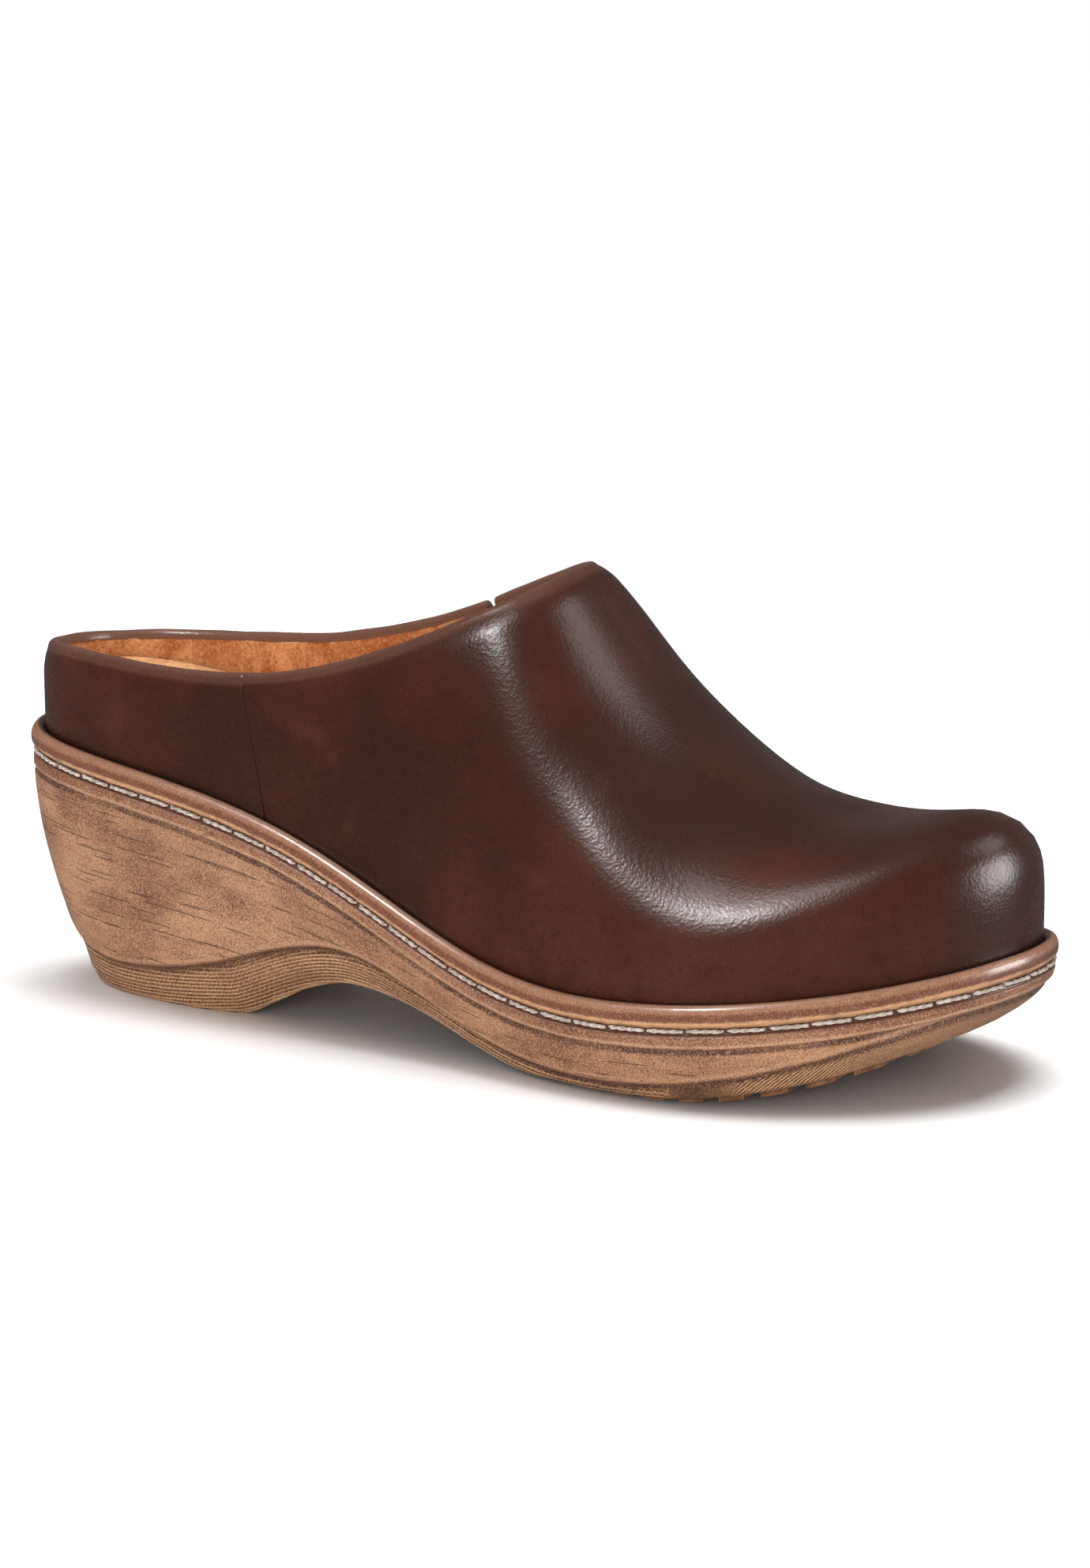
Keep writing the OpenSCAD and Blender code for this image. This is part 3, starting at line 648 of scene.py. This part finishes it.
def make_thread():
    """Stitches of two-ply thread; each dips into the sole at both ends."""
    length, ply, twist, turn = 8.7, 0.33, 0.17, 4.6
    rings, around = 30, 10
    V, F = [], []
    for c in range(STITCHES):
        mid = STITCH_LEN[-1] / STITCHES * (c + 0.5) + RNG.uniform(-.12, .12)
        ln = length + RNG.uniform(-.35, .25)
        s = np.linspace(-0.5, 0.5, rings)
        t = np.interp(mid + s * ln, STITCH_LEN, FINE)
        e = np.clip((np.abs(s) - 0.40) / 0.10, 0, 1)
        slant = RNG.uniform(.05, .28)
        centre = edge_up(t, 0.36 + 0.95 * e ** 2, -0.12 + RNG.uniform(-.06, .06) - slant * s - 0.05 * e)
        tan = unit(np.gradient(centre, axis=0))
        a = unit(np.cross(tan, [0, 0, 1.0]))
        b = np.cross(a, tan)
        ph0 = RNG.uniform(0, 6.28)
        for side in (0, math.pi):
            ph = ph0 + side + s * ln / turn * 2 * math.pi
            squeeze = (1 - 0.25 * e)[:, None]
            line = centre + (a * np.cos(ph)[:, None] + b * np.sin(ph)[:, None]) * twist * squeeze
            first = sum(len(v) for v in V)
            w = np.linspace(0, 2 * math.pi, around, endpoint=False)[None, :, None]
            spoke = a[:, None] * np.cos(w) + b[:, None] * np.sin(w)
            V.append((line[:, None] + spoke * ply * squeeze[:, None]).reshape(-1, 3))
            q, _ = grid_faces(rings, around, wrap_m=True)
            F += (q + first).tolist() + end_caps(rings, around, first)
    ob = finish_mesh("welt_thread", np.concatenate(V), F)
    outward(ob)
    return ob


thread_ob = make_thread()


# ---------------------------------------------------------------- tread panel and heel piece
def bevelled_copy(node, name, width):
    """Copy of a CAD node's mesh with softened edges."""
    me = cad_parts[node].data.copy()
    ob = add_object(name, me)
    bm = bmesh.new()
    bm.from_mesh(me)
    bmesh.ops.remove_doubles(bm, verts=bm.verts, dist=2e-6)
    bmesh.ops.dissolve_limit(bm, angle_limit=math.radians(1.0), verts=bm.verts, edges=bm.edges)
    bm.to_mesh(me)
    bm.free()
    me.polygons.foreach_set("use_smooth", [True] * len(me.polygons))
    mod = ob.modifiers.new("soft_edges", "BEVEL")
    mod.width, mod.segments, mod.limit_method, mod.angle_limit = width, 3, "ANGLE", math.radians(40)
    mod.harden_normals = True
    return ob


tread_ob = bevelled_copy("forepart_outsole", "tread_panel", 0.0010)
LIFT_TOP, LIFT_END = 3.48, 80.3         # heel piece: height of its upper face, x of its front end


def make_lift():
    """Wearing piece under the heel: its sides carry the wall on down to the ground."""
    T = np.linspace(0, STATIONS / 2, 4001)[:1800]         # from the heel to beyond the piece's front end
    t_end = float(np.interp(LIFT_END, edge(T, ring(TUCK, T))[:, 0], T))
    n, side_rows, under_rows, top_rows = 110, 9, 26, 8
    tt = t_end * np.sin(np.linspace(0, np.pi / 2, n))

    def wall_side(sign, share):
        t = sign * tt
        tuck = ring(TUCK, t)
        low = edge(t, tuck)
        z0, zg = stitch_z(ring(PLAN, t)[:, 0]), ground_z(low[:, 0])
        z = LIFT_TOP + (zg - LIFT_TOP) * share
        k = (z0 - z) / (z0 - zg)
        over = z - zg
        d = tuck * k * k + 0.45 * (1 - ramp01(0, 0.8, over)) ** 2 + 0.02 + DENT_AT_SEAM
        d = d + breast(low[:, 0]) * near_ground(over)
        return with_z(edge(t, d), z), z0 - z, over, ring(WAVE, t) - z, np.zeros(n)

    def across(a, b, count):
        """Rows between two walls, without the walls themselves."""
        return [(a[0] * (1 - s) + b[0] * s, np.full(n, OFF), np.full(n, OFF), np.full(n, -1.0), np.ones(n))
                for s in np.linspace(0, 1, count)[1:-1]]
    shares = np.linspace(0, 1, side_rows)
    under = across(wall_side(1, 1.0), wall_side(-1, 1.0), under_rows)
    for row in under:
        row[0][:, 2] = ground_z(row[0][:, 0])
    rows = ([wall_side(1, s) for s in shares] + under + [wall_side(-1, s) for s in shares[::-1]]
            + across(wall_side(-1, 0.0), wall_side(1, 0.0), top_rows))
    G, below, over, wave, inside = (np.stack(part, 1) for part in zip(*rows))
    K = G.shape[1]
    q, un = grid_faces(n, K, wrap_m=True)
    U = np.interp(tt, FINE, PLAN_LEN)
    uv = np.stack([U[un[..., 0]], grain_v(G)[un[..., 0], un[..., 1] % K]], -1) * 0.001
    ob = finish_mesh("heel_lift", G.reshape(-1, 3), q.tolist(), uvs=uv.reshape(-1, 2),
                     fields={"below": below, "above": over, "wave": wave, "inside": inside})
    outward(ob, weld=5e-6)
    return ob


lift_ob = make_lift()


# ---------------------------------------------------------------- footbed
def make_footbed():
    """Cupped pad: flat underside, upright edge, rounded rim, and a top that falls to the middle."""
    n = 200
    BED, MIDDLE = 12.4, 13.15            # heights of the underside and of the top's middle, from the stitch line
    t = np.interp(np.linspace(0, PLAN_LEN[-1], n, endpoint=False), PLAN_LEN, FINE)
    side = from_heel(t)
    gap = 0.85 * ramp01(4.9, 5.6, side) * (1 - ramp01(7.4, 8.2, side))
    outer = edge(t, 7.55 - gap)
    spine = np.stack([ring(SPINE_X, t), along(SPINE_Y, ring(SPINE_X, t), *SPINE_SPAN)], -1)
    rows = []

    def add(q, h):
        rows.append(with_z(q, stitch_z(q[:, 0]) + h))
    for s in (1.0, 0.7, 0.35, 0.1):
        add(outer * (1 - s) + spine * s, BED if s > .2 else BED + 0.05)
    add(edge(t, 7.75 - gap), BED + 0.2)
    add(edge(t, 7.55 - gap), BED + 0.6)
    medial = np.exp(-((t - 16.2) / 1.5) ** 2)
    heel = np.exp(-(side / 2.9) ** 4)
    lip = 14.2 + 4.4 * heel + 1.8 * medial
    add(edge(t, 7.5 - gap), lip - 0.7)
    add(edge(t, 7.6 - gap), lip - 0.2)
    add(edge(t, 8.0 - gap), lip)
    for s in np.linspace(0.03, 1, 22):
        q = outer * (1 - s) + spine * s
        w = np.clip(np.linalg.norm(q - outer, axis=1) / 14, 0, 1)
        fall = (1 - w) ** 2 * (1 + 2 * w)
        add(q, MIDDLE + (lip - MIDDLE) * fall + 0.25 * ramp01(190, 240, q[:, 0]) - 0.1 * heel)
    G = np.stack(rows, 1)
    q, _ = grid_faces(n, G.shape[1], wrap_n=True)
    ob = finish_mesh("footbed_pad", G.reshape(-1, 3), q.tolist())
    outward(ob, weld=3e-5)
    ob.data.polygons.foreach_set("use_smooth", [True] * len(ob.data.polygons))
    sub = ob.modifiers.new("smooth", "SUBSURF")
    sub.levels = sub.render_levels = 1
    return ob


footbed_ob = make_footbed()


# ---------------------------------------------------------------- materials
def srgb(*rgb):
    """Linear colour from 0-255 display values."""
    return tuple(c / 255 / 12.92 if c / 255 <= 0.04045 else ((c / 255 + 0.055) / 1.055) ** 2.4 for c in rgb) + (1.0,)


def shade(colour, factor):
    return tuple(min(1, c * factor) for c in colour[:3]) + (1,)


class Surface:
    """Small helper that builds one material from nodes."""

    def __init__(self, name, **sockets):
        self.mat = bpy.data.materials.new(name)
        self.mat.use_nodes = True
        self.tree = self.mat.node_tree
        self.bsdf = self.tree.nodes["Principled BSDF"]
        self.set(**sockets)
        self.where = self.node("TexCoord").outputs["Object"]

    def set(self, **sockets):
        for key, val in sockets.items():
            self.put(self.bsdf.inputs[key.replace("_", " ")], val)

    def put(self, socket, val):
        if isinstance(val, bpy.types.NodeSocket):
            self.tree.links.new(val, socket)
        else:
            socket.default_value = val

    def node(self, kind, inputs=None, **props):
        nd = self.tree.nodes.new("ShaderNode" + kind)
        for k, v in props.items():
            setattr(nd, k, v)
        for k, v in (inputs or {}).items():
            self.put(nd.inputs[k], v)
        return nd

    def attr(self, name):
        return self.node("Attribute", attribute_name=name).outputs["Fac"]

    def uv(self):
        return self.node("UVMap", uv_map="UVMap").outputs["UV"]

    def math(self, op, a, b=0.0):
        return self.node("Math", {0: a, 1: b}, operation=op).outputs[0]

    def mul(self, *v):
        out = v[0]
        for x in v[1:]:
            out = self.math("MULTIPLY", out, x)
        return out

    def add(self, *v):
        out = v[0]
        for x in v[1:]:
            out = self.math("ADD", out, x)
        return out

    def step(self, x, a, b, lo=0.0, hi=1.0):
        return self.node("MapRange", {"Value": x, "From Min": a, "From Max": b, "To Min": lo, "To Max": hi},
                         interpolation_type="SMOOTHSTEP").outputs["Result"]

    def band(self, x, centre, half, soft):
        return self.step(self.math("ABSOLUTE", self.math("SUBTRACT", x, centre)), half + soft, half)

    def stretch(self, vec, sx, sy, sz=1.0):
        return self.node("Mapping", {"Vector": vec, "Scale": (sx, sy, sz)}).outputs[0]

    def noise(self, scale, detail=2.0, rough=0.5, vec=None, warp=0.0):
        return self.node("TexNoise", {"Vector": vec or self.where, "Scale": scale, "Detail": detail,
                                      "Roughness": rough, "Distortion": warp}).outputs["Fac"]

    def sway(self, *args, **kw):
        """Noise about zero."""
        return self.math("SUBTRACT", self.noise(*args, **kw), .5)

    def wave01(self, phase):
        return self.mul(self.add(1.0, self.math("SINE", phase)), .5)

    def cells(self, scale, vec=None, feature="F1"):
        return self.node("TexVoronoi", {"Vector": vec or self.where, "Scale": scale, "Randomness": 1.0},
                         feature=feature).outputs["Distance"]

    def mix(self, fac, a, b):
        return self.node("Mix", {0: fac, 6: a, 7: b}, data_type="RGBA").outputs[2]

    def tint(self, col, mask, share, *rgb):
        """Another colour over col, by a share of the mask."""
        return self.mix(self.mul(mask, share), col, srgb(*rgb))

    def bump(self, height, distance, strength=1.0, normal=None):
        ins = {"Height": height, "Distance": distance, "Strength": strength}
        if normal is not None:
            ins["Normal"] = normal
        return self.node("Bump", ins).outputs["Normal"]


def leather(name):
    s = Surface(name, Specular_IOR_Level=0.38, Coat_Weight=0.08, Coat_Roughness=0.30)
    fine = s.noise(160, 3, .6)
    base = s.mix(s.step(s.noise(20, 3, .55), .35, .68), srgb(56, 26, 17), srgb(76, 38, 26))
    base = s.tint(base, s.step(fine, .42, .7), .4, 52, 22, 13)
    speck = s.step(s.noise(1500, 2, .6), .52, .70)
    base = s.tint(base, speck, .45, 36, 16, 10)
    base = s.tint(base, s.step(s.noise(48, 4, .6, warp=.6), .56, .75), .25, 98, 54, 38)
    # darker in the seam; painted shade where it goes behind the welt; lighter on the turned edge, partly the cut
    # edge's own tone and partly painted sheen
    base = s.tint(base, s.step(s.attr("seam"), .35, 0.05), .5, 26, 13, 9)
    # painted shade in the crevice where the leather goes in behind the welt
    base = s.tint(base, s.step(s.attr("foot"), 5.2, 3.2), .6, 24, 12, 8)
    # painted sheen on the rolled top edge, over the cut edge's own lighter tone
    base = s.tint(base, s.attr("edge"), .8, 136, 98, 80)
    # pebbled grain and fine creases
    grain = s.add(s.mul(s.cells(1500, feature="SMOOTH_F1"), .8), s.mul(s.cells(800), .45),
                  s.mul(s.noise(3000, 2, .6), .45))
    ridged = s.node("TexNoise", {"Vector": s.where, "Scale": 210, "Detail": 3, "Roughness": .6, "Distortion": 1.2},
                    noise_type="RIDGED_MULTIFRACTAL").outputs["Fac"]
    crease = s.step(ridged, .4, 1.6)
    nrm = s.bump(s.noise(60, 3, .5), .00008, .4)
    nrm = s.bump(crease, .00003, .30, nrm)
    nrm = s.bump(grain, .00009, .6, nrm)
    rough = s.add(.225, s.mul(fine, .08), s.mul(speck, .05))
    s.set(Base_Color=base, Roughness=rough, Normal=nrm)
    return s.mat


def suede(name, dark, light, fuzz):
    s = Surface(name, Roughness=.95, Sheen_Weight=.45, Sheen_Roughness=.45, Sheen_Tint=srgb(255, 205, 150),
                Specular_IOR_Level=.15)
    big = s.noise(75, 4, .62, warp=.8)
    nap = s.noise(1100, 4, .8)
    fibre = s.noise(1, 3, .6, vec=s.stretch(s.where, 900, 900, 3200))
    col = s.mix(s.step(big, .32, .68), dark, light)
    col = s.mix(s.mul(s.step(nap, .5, .68), .6), col, shade(light, 1.45))
    col = s.mix(s.mul(s.step(nap, .5, .34), .6), col, shade(dark, .5))
    nrm = s.bump(big, .0006 * fuzz, .5)
    nrm = s.bump(s.add(nap, s.mul(fibre, .6)), .00022 * fuzz, .8, nrm)
    s.set(Base_Color=col, Normal=nrm)
    return s.mat


def wood_effect(name):
    """Fields in mm: below the stitch line, below the carved wave, above the ground; inside is 1 on hidden faces."""
    s = Surface(name, Specular_IOR_Level=.4, Coat_Weight=.08, Coat_Roughness=.35)
    below, wave, above, inside = (s.attr(k) for k in ("below", "wave", "above", "inside"))
    uv = s.uv()
    cloud = s.noise(62, 3, .55, vec=s.stretch(uv, .55, 1))
    streak = s.noise(1, 3, .6, vec=s.stretch(uv, 55, 620))
    fine_streak = s.noise(1, 2, .6, vec=s.stretch(uv, 160, 2400))
    speck = s.noise(2300, 3, .9)
    col = s.mix(s.step(cloud, .32, .66), srgb(118, 70, 52), srgb(180, 130, 96))
    col = s.tint(col, s.step(streak, .45, .7), .30, 116, 66, 48)
    col = s.tint(col, s.step(fine_streak, .5, .72), .25, 184, 142, 110)
    # pores: short dark dashes that follow the grain, one for each cell of lu by lv metres, some left out
    lift = s.node("CombineXYZ", {"Y": s.mul(s.sway(30, 2, .5), .0016)}).outputs[0]
    wavy = s.node("VectorMath", {0: uv, 1: lift}, operation="ADD").outputs[0]
    dashes = []
    for lu, lv, keep, seed in ((.026, .0062, .75, 0.0), (.014, .0052, .58, 3.7), (.020, .0056, .62, 8.1)):
        v = s.node("Mapping", {"Vector": wavy, "Location": (seed, seed * 1.7, 0),
                               "Scale": (1 / lu, 1 / lv, 1)}).outputs[0]
        vor = s.node("TexVoronoi", {"Vector": v, "Scale": 1.0, "Randomness": 1.0}, voronoi_dimensions="2D")
        d = s.node("VectorMath", {0: v, 1: vor.outputs["Position"]}, operation="SUBTRACT").outputs[0]
        sep = s.node("SeparateXYZ", {0: d})
        rnd = s.node("SeparateColor", {0: vor.outputs["Color"]})
        du = s.math("ABSOLUTE", sep.outputs[0])
        dv = s.math("ABSOLUTE", sep.outputs[1])
        reach = s.add(.10, s.mul(rnd.outputs[0], .33))
        ln = s.step(s.math("SUBTRACT", du, reach), .06, -.06)
        th = s.step(dv, .00017 / lv, .00007 / lv)
        on = s.step(rnd.outputs[1], keep, keep - .02)
        dashes.append(s.mul(ln, th, on))
    pores = s.math("MAXIMUM", s.math("MAXIMUM", dashes[0], dashes[1]), dashes[2])
    clear = s.mul(s.step(below, 6.0, 8.0), s.step(wave, .2, -1.2), s.step(inside, .5, .1))
    pores = s.mul(pores, clear)
    # bands under the stitches: a darker reddish band, a painted highlight on the raised ridge and painted shade in
    # the groove below it
    wig = s.mul(s.sway(90, 2, .5), .8)
    bw = s.add(below, wig)
    col = s.tint(col, s.step(bw, 3.9, 2.6), .55, 122, 70, 50)
    # painted highlight along the raised ridge
    col = s.tint(col, s.band(bw, 3.75, .20, .35), .6, 190, 150, 120)
    var = s.step(s.noise(38, 2, .5), .3, .6, .45, 1.0)
    # painted shade in the groove, darker in places
    col = s.tint(col, s.band(bw, 4.95, .45, .6), var, 70, 36, 28)
    # carved wave, with a painted highlight on the lip above it and painted shadow under it, and the ribbed zone
    # below it
    ww = s.add(wave, s.mul(wig, .8))
    # painted highlight on the lip above the carved wave
    col = s.tint(col, s.band(ww, -1.0, .3, .7), .5, 190, 148, 116)
    # painted shadow under the carved wave, darker in places
    col = s.tint(col, s.band(ww, 1.0, .6, 1.3), s.step(s.noise(30, 2, .5), .3, .55, .6, 1.0), 68, 36, 28)
    zone = s.mul(s.step(ww, .8, 2.2), s.step(inside, .5, .1))
    run = s.mul(s.node("SeparateXYZ", {0: uv}).outputs[0], 1000.0)
    tilt = s.attr("tilt")           # 0 at the heel, where the ribs lie level, more at the toe, where they slant
    slanted = s.step(tilt, .1, .5)
    level = s.mul(s.math("SUBTRACT", above, wave), .5)
    course = s.add(s.mul(s.math("SUBTRACT", 1.0, slanted), level), s.mul(s.add(wave, s.mul(run, tilt)), slanted))
    weave = s.wave01(s.mul(course, 2 * math.pi / .95))
    beads = s.wave01(s.add(s.mul(s.add(run, s.mul(wave, .6)), 2 * math.pi / 1.3), s.mul(s.noise(500, 2, .5), 7.0)))
    ribs = s.mul(weave, s.add(.45, s.mul(beads, .55)))
    rib_tone = s.mix(s.step(ribs, .10, .60), srgb(86, 48, 34), srgb(216, 168, 122))
    strong = s.mul(s.step(s.noise(70, 2, .5, vec=s.stretch(uv, .5, 1)), .36, .58, .6, 1.0), zone)
    col = s.mix(s.mul(strong, .85), col, rib_tone)
    # light lip at the lower edge
    col = s.tint(col, s.band(above, .55, .25, .3), .7, 206, 164, 124)
    # fine speckle over all
    col = s.tint(col, s.step(speck, .50, .62), .65, 206, 162, 122)
    col = s.tint(col, s.step(speck, .49, .38), .75, 82, 46, 34)
    col = s.tint(col, pores, .85, 74, 52, 42)
    col = s.tint(col, inside, .7, 104, 72, 52)
    height = s.add(s.mul(streak, .35), s.mul(fine_streak, .3), s.mul(speck, .35), s.mul(pores, -1.8))
    nrm = s.bump(height, .00010, .6)
    nrm = s.bump(s.mul(ribs, zone), .00026, .9, nrm)
    rough = s.add(.42, s.mul(cloud, .12), s.mul(pores, .2), s.mul(speck, .1))
    s.set(Base_Color=col, Roughness=rough, Normal=nrm)
    return s.mat


def bead_material(name):
    s = Surface(name, Specular_IOR_Level=.5, Coat_Weight=.45, Coat_Roughness=.16)
    up, inset = s.attr("up"), s.attr("inset")
    mott = s.noise(330, 3, .65)
    speck = s.noise(2400, 3, .8)
    # light and shade painted by height on the round bead: the lower lip lighter as if lit, the middle darker as if
    # reflecting dark surroundings, the top a lighter middle tone
    u2 = s.add(up, s.mul(s.sway(60, 3, .6), .9), s.mul(s.math("SUBTRACT", mott, .5), .9))
    col = s.mix(s.step(u2, 1.6, 2.3), srgb(196, 148, 108), srgb(118, 66, 46))
    col = s.mix(s.step(u2, 3.3, 4.3), col, srgb(160, 112, 86))
    col = s.tint(col, s.step(mott, .5, .68), .35, 104, 56, 38)
    col = s.tint(col, s.step(speck, .50, .66), .45, 204, 160, 124)
    col = s.tint(col, s.step(speck, .49, .34), .5, 80, 42, 30)
    # painted shade in the channel that the thread lies in
    col = s.mix(s.step(up, .66, .3), col, srgb(84, 48, 36))
    # painted shade on the bead's inner top, where the leather overhangs it
    col = s.tint(col, s.step(inset, .9, 1.7), s.step(up, 4.6, 5.2), 66, 36, 26)
    nrm = s.bump(s.add(mott, s.mul(speck, .5)), .00007, .6)
    s.set(Base_Color=col, Roughness=s.add(.30, s.mul(mott, .15)), Normal=nrm)
    return s.mat


def thread_material(name):
    s = Surface(name, Roughness=.7, Sheen_Weight=.3, Sheen_Roughness=.4, Specular_IOR_Level=.3)
    col = s.mix(s.step(s.noise(900, 3, .7), .35, .65), srgb(158, 142, 128), srgb(214, 204, 194))
    col = s.tint(col, s.step(s.noise(60, 2, .5), .4, .7), .35, 180, 160, 144)
    s.set(Base_Color=col, Normal=s.bump(s.noise(5000, 3, .7), .00008, .8))
    return s.mat


def rubber(name, dark, light):
    s = Surface(name, Specular_IOR_Level=.4)
    a, b = s.noise(300, 3, .6), s.noise(2600, 2, .6)
    col = s.mix(s.step(a, .35, .65), dark, light)
    col = s.mix(s.mul(s.step(b, .5, .7), .35), col, shade(light, 1.6))
    s.set(Base_Color=col, Roughness=s.add(.5, s.mul(a, .2)), Normal=s.bump(s.add(a, s.mul(b, .4)), .00012, .6))
    return s.mat


def elastic(name):
    s = Surface(name, Roughness=.85, Sheen_Weight=.3, Specular_IOR_Level=.2)
    w = s.node("TexWave", {"Vector": s.where, "Scale": 260.0, "Distortion": 1.5, "Detail": 2.0},
               bands_direction="Z").outputs["Fac"]
    n = s.noise(1800, 3, .6)
    s.set(Base_Color=s.mix(s.add(s.mul(w, .5), s.mul(n, .5)), srgb(24, 15, 12), srgb(74, 48, 38)),
          Normal=s.bump(s.add(w, n), .0002, .7))
    return s.mat


def plain(name, dark, light, scale, grain, bump, rough, metallic=0.0, stretch=(1, 1, 1)):
    """Material of a part inside: two tones in a grain of the given scale."""
    s = Surface(name, Metallic=metallic, Specular_IOR_Level=.4)
    vec = s.stretch(s.where, *stretch)
    a = s.noise(scale, 3, .6, vec=vec)
    b = s.cells(grain, vec=vec)
    s.set(Base_Color=s.mix(s.step(s.add(s.mul(a, .6), s.mul(b, .5)), .3, .75), srgb(*dark), srgb(*light)),
          Roughness=s.add(rough, s.mul(a, .15)), Normal=s.bump(s.add(a, b), bump, .6))
    return s.mat


LEATHER_MAT = leather("brown_leather")
SUEDE_MAT = suede("tan_suede", srgb(186, 108, 62), srgb(244, 178, 124), 1.5)
WOOD_MAT = wood_effect("wood_effect")
BUFF_MAT = suede("footbed_suede", srgb(212, 146, 96), srgb(240, 186, 136), .7)
TREAD_MAT = rubber("tread_rubber", srgb(104, 66, 42), srgb(150, 104, 68))
INNER = {
    "shank": plain("steel", (120, 124, 128), (188, 192, 196), 300, 900, .00004, .3, 1.0, (1, 12, 1)),
    "forepart_filler": plain("cork", (120, 82, 50), (196, 152, 102), 260, 420, .0004, .8),
    "insole_board": plain("fibre_board", (120, 108, 90), (168, 156, 134), 500, 1500, .0001, .8),
    "heel_pad": plain("pad_foam", (70, 92, 128), (110, 138, 176), 500, 1300, .0002, .75),
    "footbed_foam": plain("footbed_foam", (186, 172, 140), (226, 214, 184), 420, 1200, .0002, .85),
    "heel_counter": plain("stiffener", (176, 164, 140), (222, 212, 190), 350, 1400, .0001, .7),
    "lateral_seam_tape": plain("tape", (36, 28, 24), (70, 56, 48), 900, 2200, .0001, .8, 0.0, (1, 1, 3)),
    "collar_foam": plain("collar_foam", (196, 184, 130), (232, 222, 170), 500, 1300, .0002, .85),
}
INNER["toe_puff"] = INNER["heel_counter"]
INNER["medial_seam_tape"] = INNER["lateral_seam_tape"]

for node, mat in INNER.items():
    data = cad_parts[node].data
    data.materials.clear()
    data.materials.append(mat)

# ---------------------------------------------------------------- pieces and what they stand for
PIECES = [
    (vamp_ob, LEATHER_MAT, "brown_leather", ("vamp", "throat_binding")),
    (quarter_ob, LEATHER_MAT, "brown_leather", ("back_quarter", "topline_binding")),
    (vamp_lining_ob, SUEDE_MAT, "tan_suede", ("vamp_lining",)),
    (quarter_lining_ob, SUEDE_MAT, "tan_suede", ("quarter_lining",)),
    (elastic_ob, elastic("elastic"), "elastic", ("gore_elastic",)),
    (sole_ob, WOOD_MAT, "wood_effect", ("sole_unit",)),
    (bead_ob, bead_material("welt_bead"), "welt_bead", ("welt",)),
    (thread_ob, thread_material("thread"), "thread", ("welt_stitches",)),
    (tread_ob, TREAD_MAT, "tread_rubber", ("forepart_outsole",)),
    (lift_ob, WOOD_MAT, "top_lift", ("heel_top_piece",)),
    (footbed_ob, BUFF_MAT, "footbed_suede", ("footbed_cover",)),
]
for ob, mat, slot, nodes in PIECES:
    ob.data.materials.clear()
    ob.data.materials.append(mat)
    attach(ob, "root")
    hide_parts(*nodes)


# ---------------------------------------------------------------- floor and light
FLOOR_R = 0.55        # beyond it the white of the studio shows


def make_floor():
    me = bpy.data.meshes.new("floor")
    n = 64
    ang = np.linspace(0, 2 * np.pi, n, endpoint=False)
    verts = [(0, 0, 0)] + [(FLOOR_R * math.cos(a), FLOOR_R * math.sin(a), 0) for a in ang]
    me.from_pydata(verts, [], [[0, 1 + k, 1 + (k + 1) % n] for k in range(n)])
    ob = add_object("floor", me)
    s = Surface("floor_paper", Roughness=.6, Specular_IOR_Level=.2)
    s.set(Base_Color=s.mix(s.noise(3, 2, .5), (.93, .93, .93, 1), (.95, .95, .95, 1)))
    me.materials.append(s.mat)
    ob.visible_glossy = False
    return ob


def softbox(name, az, el, dist, w, h, power, gloss=True, matt=True):
    """Rectangular light that looks at the shoe from an angle in degrees and a distance in metres."""
    data = bpy.data.lights.new(name, "AREA")
    data.shape, data.size, data.size_y = "RECTANGLE", w, h
    data.energy = power
    ob = add_object(name, data)
    a, e = math.radians(az), math.radians(el)
    d = Vector((math.cos(a) * math.cos(e), math.sin(a) * math.cos(e), math.sin(e)))
    ob.location = Vector((0.03, 0, 0.05)) + d * dist
    ob.visible_glossy, ob.visible_diffuse = gloss, matt
    ob.rotation_mode = "QUATERNION"
    ob.rotation_quaternion = (-d).to_track_quat("-Z", "Y")
    return ob


def link(light, ob, state):
    """Keep one object out of a light's reach (EXCLUDE), or light nothing else (INCLUDE)."""
    group = bpy.data.collections.new(light.name + "_receivers")
    group.objects.link(ob)
    group.collection_objects[0].light_linking.link_state = state
    light.light_linking.receiver_collection = group


floor = make_floor()
# soft light on everything, and softboxes that show only in the gloss; the low fill would wash out
# the shadow on the floor, so the floor has lights of its own
softbox("key", 84, 78, 1.4, 1.0, .9, 17, gloss=False)
softbox("left", 174, 26, 2.2, 1.2, .8, 14, gloss=False)
link(softbox("fill", -72, 11, 2.4, 2.2, .8, 36, gloss=False), floor, "EXCLUDE")
link(softbox("floor_light", 110, 80, 1.5, 1.3, 1.1, 18, gloss=False), floor, "INCLUDE")
link(softbox("floor_fill", -72, 14, 2.4, 2.2, .8, 12, gloss=False), floor, "INCLUDE")
softbox("gloss_front", -108, 53, 1.5, .30, .24, 14, matt=False)
softbox("gloss_above", -112, 70, 1.5, .40, .50, 3.5, matt=False)
softbox("gloss_rear", 24, 11, 1.6, .70, .80, 20, matt=False)
softbox("gloss_throat", 40, 42, 1.6, .60, .50, 2.8, matt=False)

world = bpy.data.worlds.new("studio")
SCENE.world = world
world.use_nodes = True
wt = world.node_tree
bg = wt.nodes["Background"]
bg.inputs["Color"].default_value = (1, 1, 1, 1)
path = wt.nodes.new("ShaderNodeLightPath")


def world_level(switch, off, on):
    """One level or another, depending on the kind of ray."""
    nd = wt.nodes.new("ShaderNodeMix")
    nd.data_type = "FLOAT"
    wt.links.new(path.outputs[switch], nd.inputs[0])
    for k, v in ((2, off), (3, on)):
        if isinstance(v, float):
            nd.inputs[k].default_value = v
        else:
            wt.links.new(v, nd.inputs[k])
    return nd.outputs[0]


# white to the camera, soft for diffuse light, dark in reflections
level = world_level("Is Camera Ray", world_level("Is Glossy Ray", 0.30, 0.13), 1.0)
wt.links.new(level, bg.inputs["Strength"])
SCENE.view_settings.view_transform = "Standard"

bpy.context.view_layer.update()
